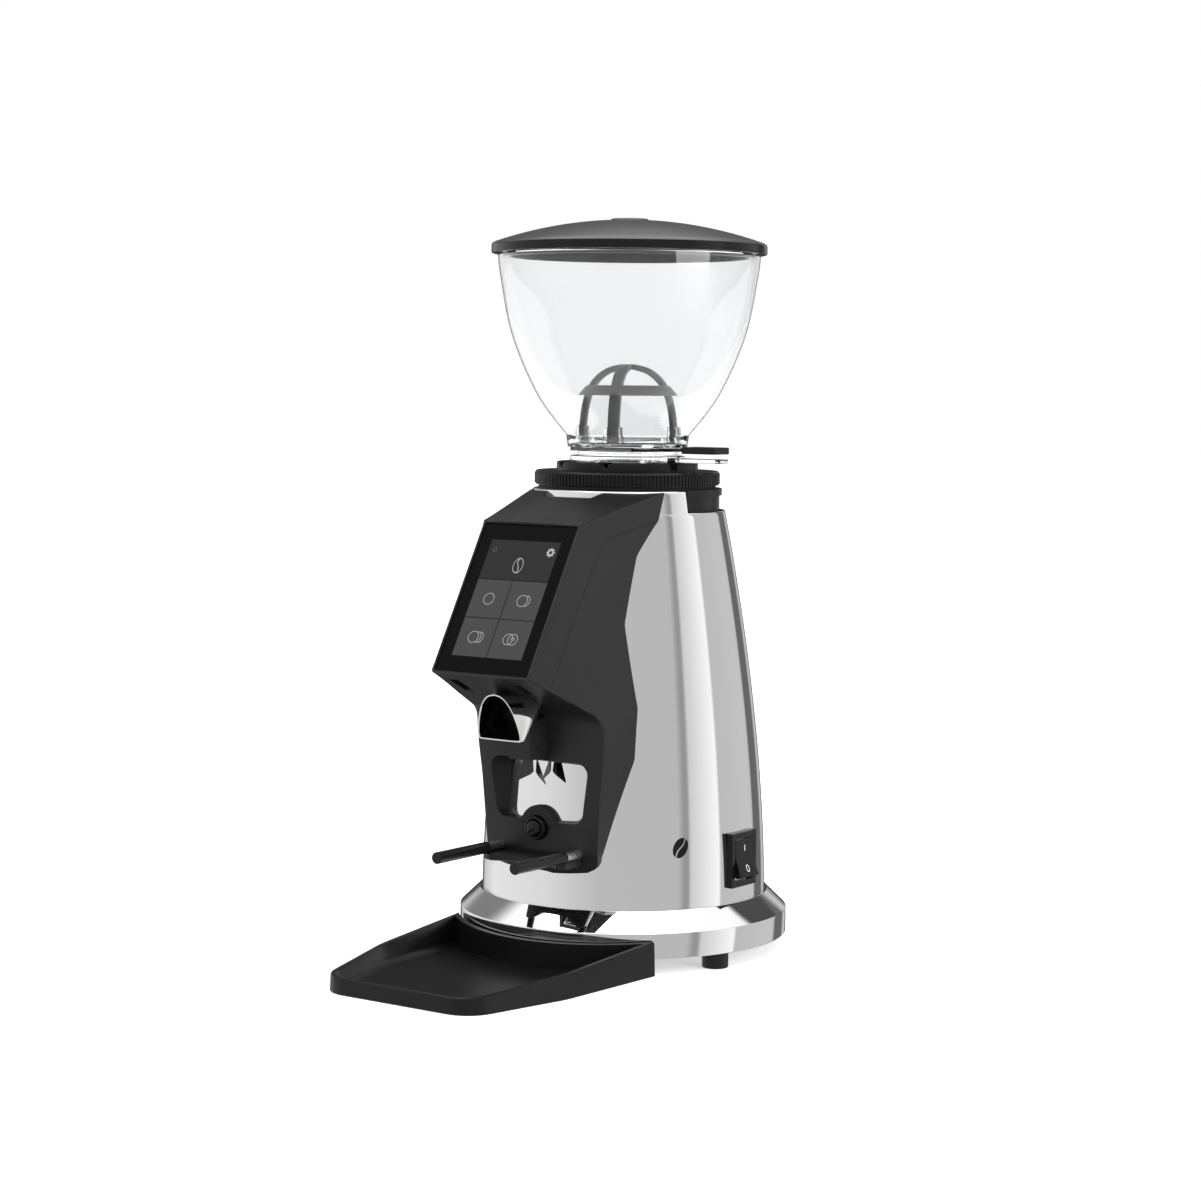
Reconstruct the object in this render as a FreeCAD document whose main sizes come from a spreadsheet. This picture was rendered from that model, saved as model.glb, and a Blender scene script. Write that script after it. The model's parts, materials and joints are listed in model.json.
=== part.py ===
import FreeCAD, Part
import math
import os
import re

import Sketcher
from FreeCAD import Placement, Rotation, Vector

# On-demand espresso coffee grinder with a touch screen, modelled in millimetres.
# The origin is on the table under the vertical axis of the body; +Z is up and the
# screen, fork and tray face -Y. The rocker switch is on the +X side.

# ---------------------------------------------------------------- driving sizes
SIZES = {
    # base, feet and body shell (bodies of revolution about the Z axis)
    "foot_height": 9.5, "foot_radius": 7.7, "foot_circle": 88.0,
    "front_foot_angle": 17.5, "rear_foot_angle": 50.0, "screw_radius": 2.0,
    "flange_radius": 98.0, "flange_band_top": 24.0, "flange_top": 35.0,
    "flange_wall": 3.0, "plate_thickness": 4.0, "plate_gap": 0.1,
    "shell_radius": 84.8, "shell_taper": 28.9, "shell_taper_power": 1.72,
    "shell_top": 274.0, "shell_wall": 1.5, "shell_ledge": 4.8,
    "notch_height": 261.5, "notch_angle": 72.2,
    # cover: the black front housing that carries the screen
    "cover_gap": 0.2, "cover_wall": 3.0, "face_wall": 4.0,
    "face_tilt": 30.0, "face_half_width": 34.5,
    "face_bottom": 173.4, "face_bottom_depth": 142.6, "face_length": 96.5,
    "roof_ridge": 267.4, "roof_crest": 273.6, "roof_crest_depth": 57.0,
    "roof_end": 275.0, "roof_notch_half": 17.0, "roof_notch_floor": 270.4,
    "window_top": 117.8, "window_bottom": 86.0, "window_depth": 77.5,
    "window_top_half": 28.8, "window_bottom_half": 25.8,
    "window_flare_top": 7.5, "window_flare_bottom": 5.1, "window_flare_rise": 2.2,
    "window_flare_depth": 9.0, "window_corner": 5.0,
    "slot_width": 6.6, "slot_length": 17.0, "slot_depth": 2.5, "slot_front": 131.5,
    "left_slot": -26.7, "right_slot": 17.2,
    # screen
    "glass_width": 65.4, "glass_length": 93.4, "glass_thickness": 1.6,
    "glass_sink": 1.1, "glass_gap": 0.3, "lit_width": 49.1, "lit_length": 73.6,
    "display_thickness": 5.0, "display_margin": 3.0,
    # chute, outlet block and clip
    "chute_half_width": 15.5, "chute_half_height": 13.9, "chute_wall": 1.2,
    "chute_depth": 125.7, "chute_height": 148.1, "chute_tilt": 12.0,
    "chute_gap": 0.4, "outlet_height": 240.0, "outlet_radius": 10.0,
    "block_half_width": 7.6, "block_front": 104.5, "block_bottom": 121.9,
    "block_top": 146.0, "clip_thickness": 1.2, "clip_front": 94.0, "clip_rear": 90.0,
    "clip_root": 5.0, "clip_root_rear": 2.4, "clip_tip": 12.0, "clip_tip_rear": 3.4,
    "clip_drop": 14.6, "clip_drop_rear": 9.0,
    # start button
    "button_height": 80.6, "button_radius": 3.7, "button_face": 92.2,
    "button_travel": 3.0, "button_gap": 0.3, "button_head_radius": 5.6,
    "collar_radius": 6.85, "collar_thickness": 2.6, "boss_radius": 12.7,
    "boss_face": 87.6, "button_hole": 9.0,
    # portafilter fork
    "fork_half_span": 27.7, "fork_tip": 145.2, "fork_height": 67.6,
    "rod_radius": 2.65, "sleeve_radius": 3.4, "sleeve_start": 98.5,
    "fork_plate_thickness": 4.5, "fork_plate_half": 33.0,
    # rocker switch on the +X side
    "rocker_height": 60.0, "rocker_offset": -1.0, "bezel_height": 31.8,
    "bezel_width": 25.6, "bezel_thickness": 2.0, "switch_body_height": 27.0,
    "switch_body_width": 21.6, "switch_body_depth": 20.0, "switch_wall": 1.2,
    "rocker_gap": 0.4, "rocker_proud": 3.4, "rocker_tilt": 11.0, "bezel_gap": 0.05,
    "rocker_play": 0.7, "pivot_radius": 0.75, "pivot_gap": 0.1, "pivot_inset": 1.0,
    # burr chamber
    "housing_radius": 53.8, "housing_bottom": 222.0, "housing_top": 274.4,
    "housing_floor": 9.0, "housing_bore": 42.3, "housing_jacket": 55.1,
    "housing_lip": 56.5, "housing_lip_bottom": 270.5, "jacket_gap": 0.1,
    "carrier_gap": 0.3, "carrier_travel": 0.63, "carrier_top": 281.6, "burr_radius": 27.5,
    "burr_bore": 14.0, "burr_thickness": 7.0, "burr_gap": 1.0, "burr_teeth": 18,
    "tooth_depth": 2.0, "tooth_width": 1.6, "lower_carrier_radius": 40.0,
    "lower_carrier_bottom": 233.0, "lower_carrier_thickness": 5.0,
    # adjustment ring and collar
    "ring_radius": 55.2, "ring_bottom": 276.3, "ring_top": 284.6,
    "ring_web": 2.0, "ring_chamfer": 1.2, "washer_gap": 0.15,
    "top_collar_radius": 42.1, "top_collar_top": 289.9, "top_collar_bore": 36.0,
    "collar_notches": 6, "first_notch": -73.0, "collar_notch_width": 3.0, "collar_notch_depth": 2.5,
    # hopper neck and gate
    "neck_disc_radius": 34.1, "neck_disc_bottom": 290.1, "neck_disc_top": 293.4,
    "neck_radius": 29.7, "neck_top": 296.3, "neck_bore": 22.0,
    "spigot_radius": 26.6, "spigot_bottom": 262.0, "spigot_gap": 0.4,
    "rail_width": 3.0, "gate_thickness": 1.6, "gate_gap": 0.3,
    "gate_half_width": 24.5, "gate_reach": 67.0, "handle_start": 44.0,
    "handle_half_width": 8.0, "handle_thickness": 4.0, "tongue_half_width": 7.0,
    "tongue_thickness": 2.4,
    # hopper, bean guard and lid
    "hopper_bottom": 298.6, "hopper_flange_radius": 35.3, "hopper_flange_top": 301.2,
    "hopper_wall": 2.4, "funnel_start": 305.5, "funnel_start_radius": 36.5,
    "funnel_low": 329.0, "funnel_low_radius": 54.0, "funnel_mid": 364.0,
    "funnel_mid_radius": 69.2, "funnel_high": 398.0, "funnel_high_radius": 76.2,
    "hopper_top": 412.0, "hopper_top_radius": 77.9,
    "guard_radius": 29.4, "guard_strip": 1.8, "guard_width": 5.6,
    "guard_ring_bottom": 327.5, "guard_ring_top": 333.0, "guard_apex": 347.8,
    "guard_gap": 0.2, "socket_wall": 1.8, "socket_height": 10.0, "guard_turn": -162.0,
    "guard_leg_step": 90.0, "guard_eye": 2.0, "guard_waist": 28.6, "guard_waist_height": 315.0,
    "guard_shoulder": 25.6, "guard_shoulder_height": 328.5, "guard_haunch": 18.5,
    "guard_haunch_height": 339.8, "guard_ring_lean": 4.6,
    "lid_radius": 81.7, "lid_bottom": 412.4, "lid_band_top": 419.0,
    "lid_top": 433.3, "lid_wall": 2.2, "lid_gap": 0.5, "lid_rim_drop": 7.0,
    "lid_disc_radius": 11.0, "lid_disc_rise": 0.7,
    # coffee tray on the table
    "tray_front": 216.0, "tray_front_half": 52.0, "tray_corner": 11.0,
    "tray_middle": 148.0, "tray_middle_half": 67.3, "tray_rear": 68.0,
    "tray_rear_half": 71.6, "tray_front_height": 9.4, "tray_slope": 0.0745,
    "tray_gap": 1.9, "tray_wall": 3.5, "tray_floor": 2.5, "tray_draft": 1.6,
    "tongue_half": 45.0, "tongue_height": 3.2, "tongue_back": 50.0,
    # motor and electrics inside the shell
    "post_radius": 4.5, "post_circle": 55.0, "bracket_radius": 62.0,
    "bracket_thickness": 6.0, "bracket_height": 84.0, "stator_radius": 48.0,
    "stator_length": 88.0, "stator_clearance": 4.0, "rotor_radius": 27.0,
    "air_gap": 0.6, "shaft_radius": 7.0, "shaft_fit": 0.05, "bearing_radius": 16.0,
    "upper_post_circle": 45.0, "fan_radius": 38.0, "fan_thickness": 7.0,
    "capacitor_radius": 15.0, "capacitor_length": 60.0, "capacitor_offset": 52.0,
    "board_length": 78.0, "board_width": 50.0, "board_thickness": 1.6,
    "board_lift": 6.0, "gland_radius": 4.8, "gland_bore": 3.4, "gland_length": 11.0,
    "gland_collar": 5.2, "gland_collar_length": 3.0, "gland_height": 18.5,
}

# Horizontal sections of the cover, from its hem to its peak: height, half width and
# depth of the front corners, how far the middle bows forward, half width at the shell.
COVER_SECTIONS = {
    "hem": (54.5, 29.5, 81.0, 4.0, 30.0),
    "heel": (60.5, 37.4, 82.2, 4.0, 36.2),
    "ankle": (68.0, 39.8, 82.8, 3.8, 38.4),
    "shin": (108.0, 42.4, 84.0, 3.2, 47.4),
    "knee": (126.0, 44.8, 85.0, 2.8, 50.4),
    "brow": (140.7, 45.8, 85.9, 2.2, 50.2),
    "chin_back": (147.0, 44.2, 88.0, 1.0, 49.8),
    "chin_middle": (156.4, 41.0, 108.7, 0.0, 48.2),
    "chin_front": (167.0, 36.2, 129.0, 0.0, 45.6),
}
# The same above the bottom of the screen face: height and half width at the shell.
HEAD_SECTIONS = {
    "lip": (173.4, 44.2), "cheek": (198.0, 39.5), "temple": (237.3, 40.9),
    "crown": (257.5, 47.3), "peak": (277.0, 47.4),
}
for station, row in COVER_SECTIONS.items():
    for column, number in zip(("height", "front", "depth", "bow", "rear"), row):
        SIZES[station + "_" + column] = number
for station, row in HEAD_SECTIONS.items():
    for column, number in zip(("height", "rear"), row):
        SIZES[station + "_" + column] = number

doc = FreeCAD.newDocument("coffee_grinder")
sheet = doc.addObject("Spreadsheet::Sheet", "Sizes")
for line, (alias, number) in enumerate(SIZES.items(), 1):
    sheet.set("A%d" % line, alias)
    sheet.set("B%d" % line, str(number))
    sheet.setAlias("B%d" % line, alias)
doc.recompute()

SUBPARTS = []
TALL = 600.0            # longer than the machine, for cutting tools


# --------------------------------------------------------------------- helpers
def size(alias):
    """Number that a cell of the sheet holds."""
    return float(getattr(sheet, alias))


def bound(text):
    """Expression text with each size name pointed at the sheet."""
    def point(word):
        name = word.group()
        return "Sizes." + name if name in SIZES else name
    return re.sub(r"[a-z][a-z_]*", point, str(text))


def place(item, x=0, y=0, z=0, rotation=None):
    """Put an object at bound coordinates."""
    if rotation is not None:
        item.Placement = Placement(Vector(), rotation)
    for axis, text in zip("xyz", (x, y, z)):
        item.setExpression("Placement.Base." + axis, bound(text))
    return item


def cylinder(name, radius, height, x=0, y=0, z=0, rotation=None):
    item = doc.addObject("Part::Cylinder", name)
    item.setExpression("Radius", bound(radius))
    item.setExpression("Height", bound(height))
    return place(item, x, y, z, rotation)


def box(name, length, width, height, x=0, y=0, z=0, rotation=None):
    """Box with its lowest corner at the bound coordinates."""
    item = doc.addObject("Part::Box", name)
    for side, text in zip(("Length", "Width", "Height"), (length, width, height)):
        item.setExpression(side, bound(text))
    return place(item, x, y, z, rotation)


def cut(name, base, *tools):
    """Base less every tool, one cut after another."""
    for number, tool in enumerate(tools, 1):
        item = doc.addObject("Part::Cut", name if number == len(tools) else name + "_cut")
        item.Base = base
        item.Tool = tool
        base = item
    return base


def fuse(name, *pieces):
    item = doc.addObject("Part::MultiFuse", name)
    item.Shapes = list(pieces)
    return item


def tube(name, outer, inner, height, x=0, y=0, z=0, rotation=None):
    return cut(name, cylinder(name + "_outside", outer, height, x, y, z, rotation),
               cylinder(name + "_bore", inner, height, x, y, z, rotation))


def around(name, count, make, start=0):
    """Count solids spread evenly about Z; make(index, angle) gives each one."""
    return fuse(name, *[make(i, math.radians(start + 360 * i / count)) for i in range(count)])


def outline(body, plane, points):
    """Closed sketch of straight lines whose corners are bound to expressions."""
    sketch = body.newObject("Sketcher::SketchObject", body.Name + "_outline")
    origin_plane = [item for item in body.Origin.OriginFeatures if item.Role == plane][0]
    sketch.AttachmentSupport = [(origin_plane, "")]
    sketch.MapMode = "FlatFace"
    count = len(points)
    turns = [2 * math.pi * corner / count for corner in range(count)]
    first = [Vector(100 * math.cos(turn), 100 * math.sin(turn), 0) for turn in turns]
    for corner in range(count):
        sketch.addGeometry(Part.LineSegment(first[corner], first[(corner + 1) % count]), False)
    for corner in range(count):
        joined = Sketcher.Constraint("Coincident", corner, 2, (corner + 1) % count, 1)
        sketch.addConstraint(joined)
    for corner, texts in enumerate(points):
        for kind, start, text in zip(("DistanceX", "DistanceY"), first[corner], texts):
            held = sketch.addConstraint(Sketcher.Constraint(kind, -1, 1, corner, 1, start))
            sketch.setExpression("Constraints[%d]" % held, bound(text))
    return sketch


def revolved(name, points):
    """Body turned about Z from (radius, height) corners."""
    body = doc.addObject("PartDesign::Body", name)
    turn = body.newObject("PartDesign::Revolution", name + "_turn")
    turn.Profile = outline(body, "XZ_Plane", points)
    turn.ReferenceAxis = (turn.Profile[0], ["V_Axis"])
    turn.Angle = 360
    return body


def feature(name, shape):
    """Part::Feature for a free-form solid made from the sheet's sizes."""
    item = doc.addObject("Part::Feature", name)
    item.Shape = shape
    return item


def subpart(node, item):
    """Name a finished sub-part; the label is its file name."""
    item.Label = node
    SUBPARTS.append(item)
    return item


def polygon(points):
    return Part.makePolygon([Vector(*point) for point in points] + [Vector(*points[0])])


def lofted(wires, ruled=True):
    return Part.makeLoft(wires, True, ruled)


def turned(edges):
    """Solid turned about Z from the edges of a closed profile in the XZ plane."""
    face = Part.Face(Part.Wire(Part.__sortEdges__(edges)))
    return face.revolve(Vector(), Vector(0, 0, 1), 360)


def line(start, end):
    return Part.makeLine(Vector(start[0], 0, start[1]), Vector(end[0], 0, end[1]))


def smooth(points):
    curve = Part.BSplineCurve()
    curve.interpolate([Vector(radius, 0, height) for radius, height in points])
    return curve.toShape()


AWAY = Rotation(Vector(1, 0, 0), 90)        # local +Z turned to -Y
SIDEWAYS = Rotation(Vector(0, 1, 0), 90)    # local +Z turned to +X


def shell_radius(height):
    """Outer radius of the body shell: straight at its foot, leaning in above."""
    share = (height - size("flange_top")) / (size("shell_top") - size("flange_top"))
    drop = size("shell_taper") * max(share, 0.0) ** size("shell_taper_power")
    return size("shell_radius") - drop


def shell_solid(grow, bottom, top):
    """Solid of revolution inside the shell's outer face, moved outwards by grow."""
    steps = 8
    heights = [bottom + (top - bottom) * step / steps for step in range(steps + 1)]
    side = [(shell_radius(height) + grow, height) for height in heights]
    low, high = side[0], side[-1]
    return turned([smooth(side), line(high, (0, high[1])), line((0, high[1]), (0, low[1])),
                   line((0, low[1]), low)])


# ------------------------------------------------------------------------ base
def base_plate_and_ring():
    inner = "shell_radius - shell_ledge"
    chamfer_run = "shell_radius + 1.7"
    ring = revolved("base_ring_blank", [
        ("flange_radius - flange_wall", "foot_height"), ("flange_radius", "foot_height"),
        ("flange_radius", "flange_band_top"), (chamfer_run, "flange_top"),
        (inner, "flange_top"), (inner, "flange_top - flange_wall"),
        (chamfer_run + " - flange_wall * 0.41", "flange_top - flange_wall"),
        ("flange_radius - flange_wall", "flange_band_top - flange_wall * 0.41")])
    exit_hole = cylinder("gland_hole", "gland_radius + shaft_fit", "flange_radius",
                         z="gland_height", rotation=AWAY.inverted())
    subpart("base_ring", cut("base_ring", ring, exit_hole))
    disc = cylinder("base_disc", "flange_radius - flange_wall - plate_gap",
                    "plate_thickness", z="foot_height")
    post_holes = post_set("post_screw_holes", "post_circle", "foot_height",
                          "foot_height + plate_thickness", "screw_radius + 0.2")
    subpart("base_plate", cut("base_plate", disc, foot_screw_set("hole", 0.2), post_holes))


def foot_places():
    """Name, x and y of the four feet, as expressions."""
    places = []
    for end, angle, way in (("front", "front_foot_angle", -1), ("rear", "rear_foot_angle", 1)):
        for hand, turn in (("left", -1), ("right", 1)):
            places.append((end + "_" + hand, "%d * foot_circle * cos(%s)" % (turn, angle),
                           "%d * foot_circle * sin(%s)" % (way, angle)))
    return places


def foot_screw_set(kind, grow):
    return fuse("foot_screws_" + kind, *[
        cylinder("foot_%s_%s" % (kind, name), "screw_radius + %g" % grow,
                 "foot_height * 0.5 + plate_thickness", x, y, "foot_height * 0.5")
        for name, x, y in foot_places()])


def feet():
    for name, x, y in foot_places():
        pad = cylinder("foot_pad_" + name, "foot_radius", "foot_height", x, y, 0)
        bore = cylinder("foot_bore_" + name, "screw_radius", "foot_height", x, y,
                        "foot_height * 0.5")
        subpart("foot_" + name, cut("foot_" + name, pad, bore))
    subpart("foot_screws", foot_screw_set("screw", 0.0))


def cable_gland():
    turn = AWAY.inverted()
    barrel = cylinder("gland_barrel", "gland_radius", "gland_length",
                      y="flange_radius - gland_length", z="gland_height", rotation=turn)
    collar = cylinder("gland_rim", "gland_collar", "gland_collar_length",
                      y="flange_radius + plate_gap", z="gland_height", rotation=turn)
    link = cylinder("gland_link", "gland_radius", "gland_collar_length",
                    y="flange_radius - 1", z="gland_height", rotation=turn)
    bore = cylinder("gland_bore", "gland_bore", "flange_radius", y="flange_radius * 0.5",
                    z="gland_height", rotation=turn)
    subpart("cable_gland", cut("cable_gland", fuse("gland_solid", barrel, collar, link), bore))


# ----------------------------------------------------------------------- shell
def body_shell():
    bottom, top = size("flange_top"), size("shell_top")
    wall = size("shell_wall")
    skin = shell_solid(0, bottom, top).cut(shell_solid(-wall, bottom, top))
    # the rear of the rim is lower, behind two radial edges
    notch_foot = size("notch_height")
    wedge = Part.makeCylinder(TALL, top, Vector(0, 0, notch_foot), Vector(0, 0, 1),
                              360 - 2 * size("notch_angle"))
    wedge.rotate(Vector(), Vector(0, 0, 1), -90 + size("notch_angle"))
    skin = skin.cut(wedge)
    # way through for the chute and the display wiring, behind the cover
    half = size("outlet_radius") + size("chute_wall") + 3
    low = size("chin_middle_height") + 6
    high = size("outlet_height") + half
    skin = skin.cut(Part.makeBox(2 * half, size("shell_radius"), high - low,
                                 Vector(-half, -size("shell_radius") - 5, low)))
    # hole for the start button's switch
    skin = skin.cut(Part.makeCylinder(size("button_hole"), size("shell_radius"),
                                      Vector(0, 0, size("button_height")), Vector(0, -1, 0)))
    # hole for the body of the rocker switch
    deep, tall, wide = size("shell_radius"), size("switch_body_height"), size("switch_body_width")
    corner = Vector(size("shell_radius") * 0.6, size("rocker_offset") - wide / 2 - 0.2,
                    size("rocker_height") - tall / 2 - 0.2)
    skin = skin.cut(Part.makeBox(deep, wide + 0.4, tall + 0.4, corner))
    subpart("body_shell", feature("body_shell", skin))


# ----------------------------------------------------------------------- cover
def face_depth(height):
    """Distance of the tilted screen face in front of the axis at a height."""
    run = (height - size("face_bottom")) * math.tan(math.radians(size("face_tilt")))
    return size("face_bottom_depth") - run


def cover_rows():
    """Sections of the cover: height, front half width, depth, bow, rear half width."""
    rows = []
    for station in COVER_SECTIONS:
        rows.append([size(station + "_" + column)
                     for column in ("height", "front", "depth", "bow", "rear")])
    for station in HEAD_SECTIONS:
        height = size(station + "_height")
        rows.append([height, size("face_half_width"), face_depth(height), 0.0,
                     size(station + "_rear")])
    return rows


def cover_block(rows):
    """Ruled solid through the sections, run on into the space of the shell."""
    wires = []
    for height, front, depth, bow, rear in rows:
        edge_depth = math.sqrt(shell_radius(height) ** 2 - rear ** 2)
        run_on = 0.35
        inner_half = rear + (rear - front) * run_on
        inner_depth = edge_depth - (depth - edge_depth) * run_on
        wires.append(polygon([(-inner_half, -inner_depth, height), (-front, -depth, height),
                              (0, -depth - bow - 0.01, height), (front, -depth, height),
                              (inner_half, -inner_depth, height)]))
    return lofted(wires)


def roof_cutter(drop):
    """Everything above the sloping roof of the head, lowered by drop."""
    face_top = size("face_bottom") + size("face_length") * math.cos(math.radians(size("face_tilt")))
    depth = face_depth(face_top)
    crest_depth = size("roof_crest_depth")
    half = size("peak_rear") + 10
    slope = (size("roof_crest") - face_top) / (depth - crest_depth)
    wires = []
    for x, crest in ((-half, size("roof_ridge")), (0, size("roof_crest")), (half, size("roof_ridge"))):
        wires.append(polygon([
            (x, -TALL, face_top - slope * (TALL - depth) - drop), (x, -depth, face_top - drop),
            (x, -crest_depth, crest - drop), (x, -size("roof_crest_depth") * 0.45,
                                              size("roof_end") - drop),
            (x, 0, size("roof_end") - drop), (x, 0, TALL), (x, -TALL, TALL)]))
    return lofted(wires)


def face_frame(width, length, depth_from, thickness):
    """Box square to the screen face, centred on it, from depth_from behind the face."""
    tilt = size("face_tilt")
    block = Part.makeBox(width, length, thickness, Vector(-width / 2, -length / 2,
                                                          -depth_from - thickness))
    block.rotate(Vector(), Vector(1, 0, 0), 90 - tilt)
    reach = size("face_length") / 2
    middle = size("face_bottom") + reach * math.cos(math.radians(tilt))
    block.translate(Vector(0, -face_depth(middle), middle))
    return block


def window_tool():
    """Tapered prism of the window through the lower frame."""
    wires = []
    for share in (1.6, -2.2):
        top_half = size("window_top_half") + share * size("window_flare_top")
        bottom_half = size("window_bottom_half") + share * size("window_flare_bottom")
        rise = share * size("window_flare_rise")
        depth = size("window_depth") + share * size("window_flare_depth")
        top, bottom = size("window_top") + rise, size("window_bottom") - rise * 0.6
        corner = size("window_corner")
        lean = (top_half - bottom_half) / (top - bottom) * corner
        wires.append(polygon([
            (-bottom_half + corner, -depth, bottom), (bottom_half - corner, -depth, bottom),
            (bottom_half + lean, -depth, bottom + corner), (top_half - lean, -depth, top - corner),
            (top_half - corner, -depth, top), (-top_half + corner, -depth, top),
            (-top_half + lean, -depth, top - corner), (-bottom_half - lean, -depth,
                                                       bottom + corner)]))
    return lofted(wires)


def front_cover():
    rows = cover_rows()
    block = cover_block(rows)
    # hollow head, open to the shell behind it
    wall, front_wall = size("cover_wall"), size("face_wall")
    back_shift = front_wall / math.cos(math.radians(size("face_tilt")))
    hollow_rows = []
    for height, front, depth, bow, rear in rows[6:]:
        hollow_rows.append([height + wall * 1.2, front - wall, depth - back_shift - wall * 0.7,
                            0.0, rear - wall])
    hollow = cover_block(hollow_rows).cut(roof_cutter(wall))
    block = block.cut(roof_cutter(0)).cut(hollow)
    # recess for the glass and opening for the display behind it
    gap, margin = size("glass_gap"), size("display_margin")
    sink = size("glass_sink") + size("glass_thickness")
    block = block.cut(face_frame(size("glass_width") + 2 * gap, size("glass_length") + 2 * gap,
                                 -5, 5 + sink))
    block = block.cut(lofted(chute_wires(-size("chute_gap"))))
    block = block.cut(face_frame(size("lit_width") + 2 * margin + 2 * gap,
                                 size("lit_length") + 2 * margin + 2 * gap, 0, 12))
    block = block.cut(window_tool())
    boss = Part.makeCylinder(size("boss_radius"), size("boss_face") - 60,
                             Vector(0, -60, size("button_height")), Vector(0, -1, 0))
    block = block.fuse(boss)
    for centre in (size("left_slot"), size("right_slot")):
        block = block.cut(chin_slot(centre))
    # button bore, fork rod holes, notch in the crest of the roof
    block = block.cut(Part.makeCylinder(size("button_head_radius") + size("button_gap"),
                                        size("boss_face") - 60 - 4,
                                        Vector(0, -60, size("button_height")), Vector(0, -1, 0)))
    block = block.cut(Part.makeCylinder(size("button_radius") + size("button_gap"),
                                        size("boss_face"),
                                        Vector(0, -30, size("button_height")), Vector(0, -1, 0)))
    for side in (-1, 1):
        block = block.cut(Part.makeCylinder(
            size("rod_radius"), size("fork_tip"),
            Vector(side * size("fork_half_span"), 0, size("fork_height")), Vector(0, -1, 0)))
    half, floor = size("roof_notch_half"), size("roof_notch_floor")
    rise = size("roof_end") - floor
    notch_face = Part.Face(polygon([(-half, -80, floor), (half, -80, floor),
                                    (half + rise, -80, floor + rise),
                                    (-half - rise, -80, floor + rise)]))
    block = block.cut(notch_face.extrude(Vector(0, 50, 0)))
    inside = shell_solid(size("cover_gap"), size("hem_height") - 20, size("peak_height") + 5)
    cover = largest(block.cut(inside))
    subpart("front_cover", feature("front_cover", cover))
    return cover


def chin_slot(centre):
    """Shallow pocket in the slope under the head."""
    back, front = size("chin_back_depth"), size("face_bottom_depth")
    low, high = size("chin_back_height"), size("face_bottom")
    slope = (high - low) / (front - back)
    near, far = size("slot_front"), size("slot_front") - size("slot_length")
    side = Part.Face(polygon([
        (centre - size("slot_width") / 2, -depth, low + (depth - back) * slope + shift)
        for depth, shift in ((near, -9), (near, size("slot_depth")),
                             (far, size("slot_depth")), (far, -9))]))
    return side.extrude(Vector(size("slot_width"), 0, 0))


def largest(shape):
    """The biggest solid of a shape, without the slivers that a cut can leave."""
    return sorted(shape.Solids, key=lambda solid: solid.Volume)[-1]


def screen():
    glass = face_frame(size("glass_width"), size("glass_length"), size("glass_sink"),
                       size("glass_thickness"))
    subpart("screen_glass", feature("screen_glass", glass))
    margin = size("display_margin")
    display = face_frame(size("lit_width") + 2 * margin, size("lit_length") + 2 * margin,
                         size("glass_sink") + size("glass_thickness"), size("display_thickness"))
    subpart("display_module", feature("display_module", display))


# --------------------------------------------------- chute, block, clip, button
def chute_wires(shrink):
    """Rings of the chute, round at the burr chamber and an arch on a flat sill at its mouth."""
    depth, height = size("chute_depth"), size("chute_height")
    small = size("outlet_radius") + size("chute_wall")
    start_depth = size("housing_radius") + size("chute_gap")
    wide, tall = size("chute_half_width"), size("chute_half_height")
    stations = [
        (start_depth, size("outlet_height"), 0, small, small, 0.0),
        (start_depth + 10, size("outlet_height") - 5, 45, small, small, 0.0),
        (start_depth + 19, size("outlet_height") - 29, 74, small, small, 0.0),
        (start_depth + 29, size("outlet_height") - 58, 66, small, small + 0.4, 0.1),
        (depth - 25, height + 9, 38, small + 2, small + 1.6, 0.4),
        (depth - 10, height + 1.5, 4, wide - 1.2, tall - 0.6, 0.9),
        (depth, height, -size("chute_tilt"), wide, tall, 1.0),
    ]
    # right half of the mouth from its top to its sill, as shares of the half sizes
    arch = [(0.0, 1.0), (0.34, 0.89), (0.60, 0.60), (0.78, 0.22), (0.90, -0.19),
            (0.975, -0.575), (1.0, -0.90), (0.52, -1.0), (0.0, -1.0)]
    wires = []
    for back, up, dip, half_width, half_height, share in stations:
        right = []
        for step, (across, rise) in enumerate(arch):
            turn = math.pi * step / (len(arch) - 1)
            right.append((share * across + (1 - share) * math.sin(turn),
                          share * rise + (1 - share) * math.cos(turn)))
        ring = right + [(-across, rise) for across, rise in right[-2:0:-1]]
        curve = Part.BSplineCurve()
        curve.interpolate([Vector(across * (half_width - shrink), rise * (half_height - shrink), 0)
                           for across, rise in ring], PeriodicFlag=True)
        wire = Part.Wire(curve.toShape())
        wire.rotate(Vector(), Vector(1, 0, 0), 90 + dip)
        wire.translate(Vector(0, -back, up))
        wires.append(wire)
    return wires


def chute():
    outside = lofted(chute_wires(0))
    inside = lofted(chute_wires(size("chute_wall")))
    subpart("chute", feature("chute", outside.cut(inside)))
    return outside


def outlet_block(chute_outside, cover):
    """Black guide block that carries the chute, its top rounded under the scoop."""
    half, front = size("block_half_width"), size("block_front")
    rear = size("brow_depth") + size("brow_bow") + 0.05
    bottom, top = size("block_bottom"), size("block_top")
    block = Part.makeBox(2 * half, front - rear, top - bottom, Vector(-half, -front, bottom))
    edges = [edge for edge in block.Edges
             if abs(edge.BoundBox.ZMin - top) < 0.01 and edge.BoundBox.YLength > 1]
    block = block.makeFillet(half * 0.4, edges)
    block = block.cut(chute_outside).cut(cover)
    subpart("outlet_block", feature("outlet_block", largest(block)))


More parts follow.
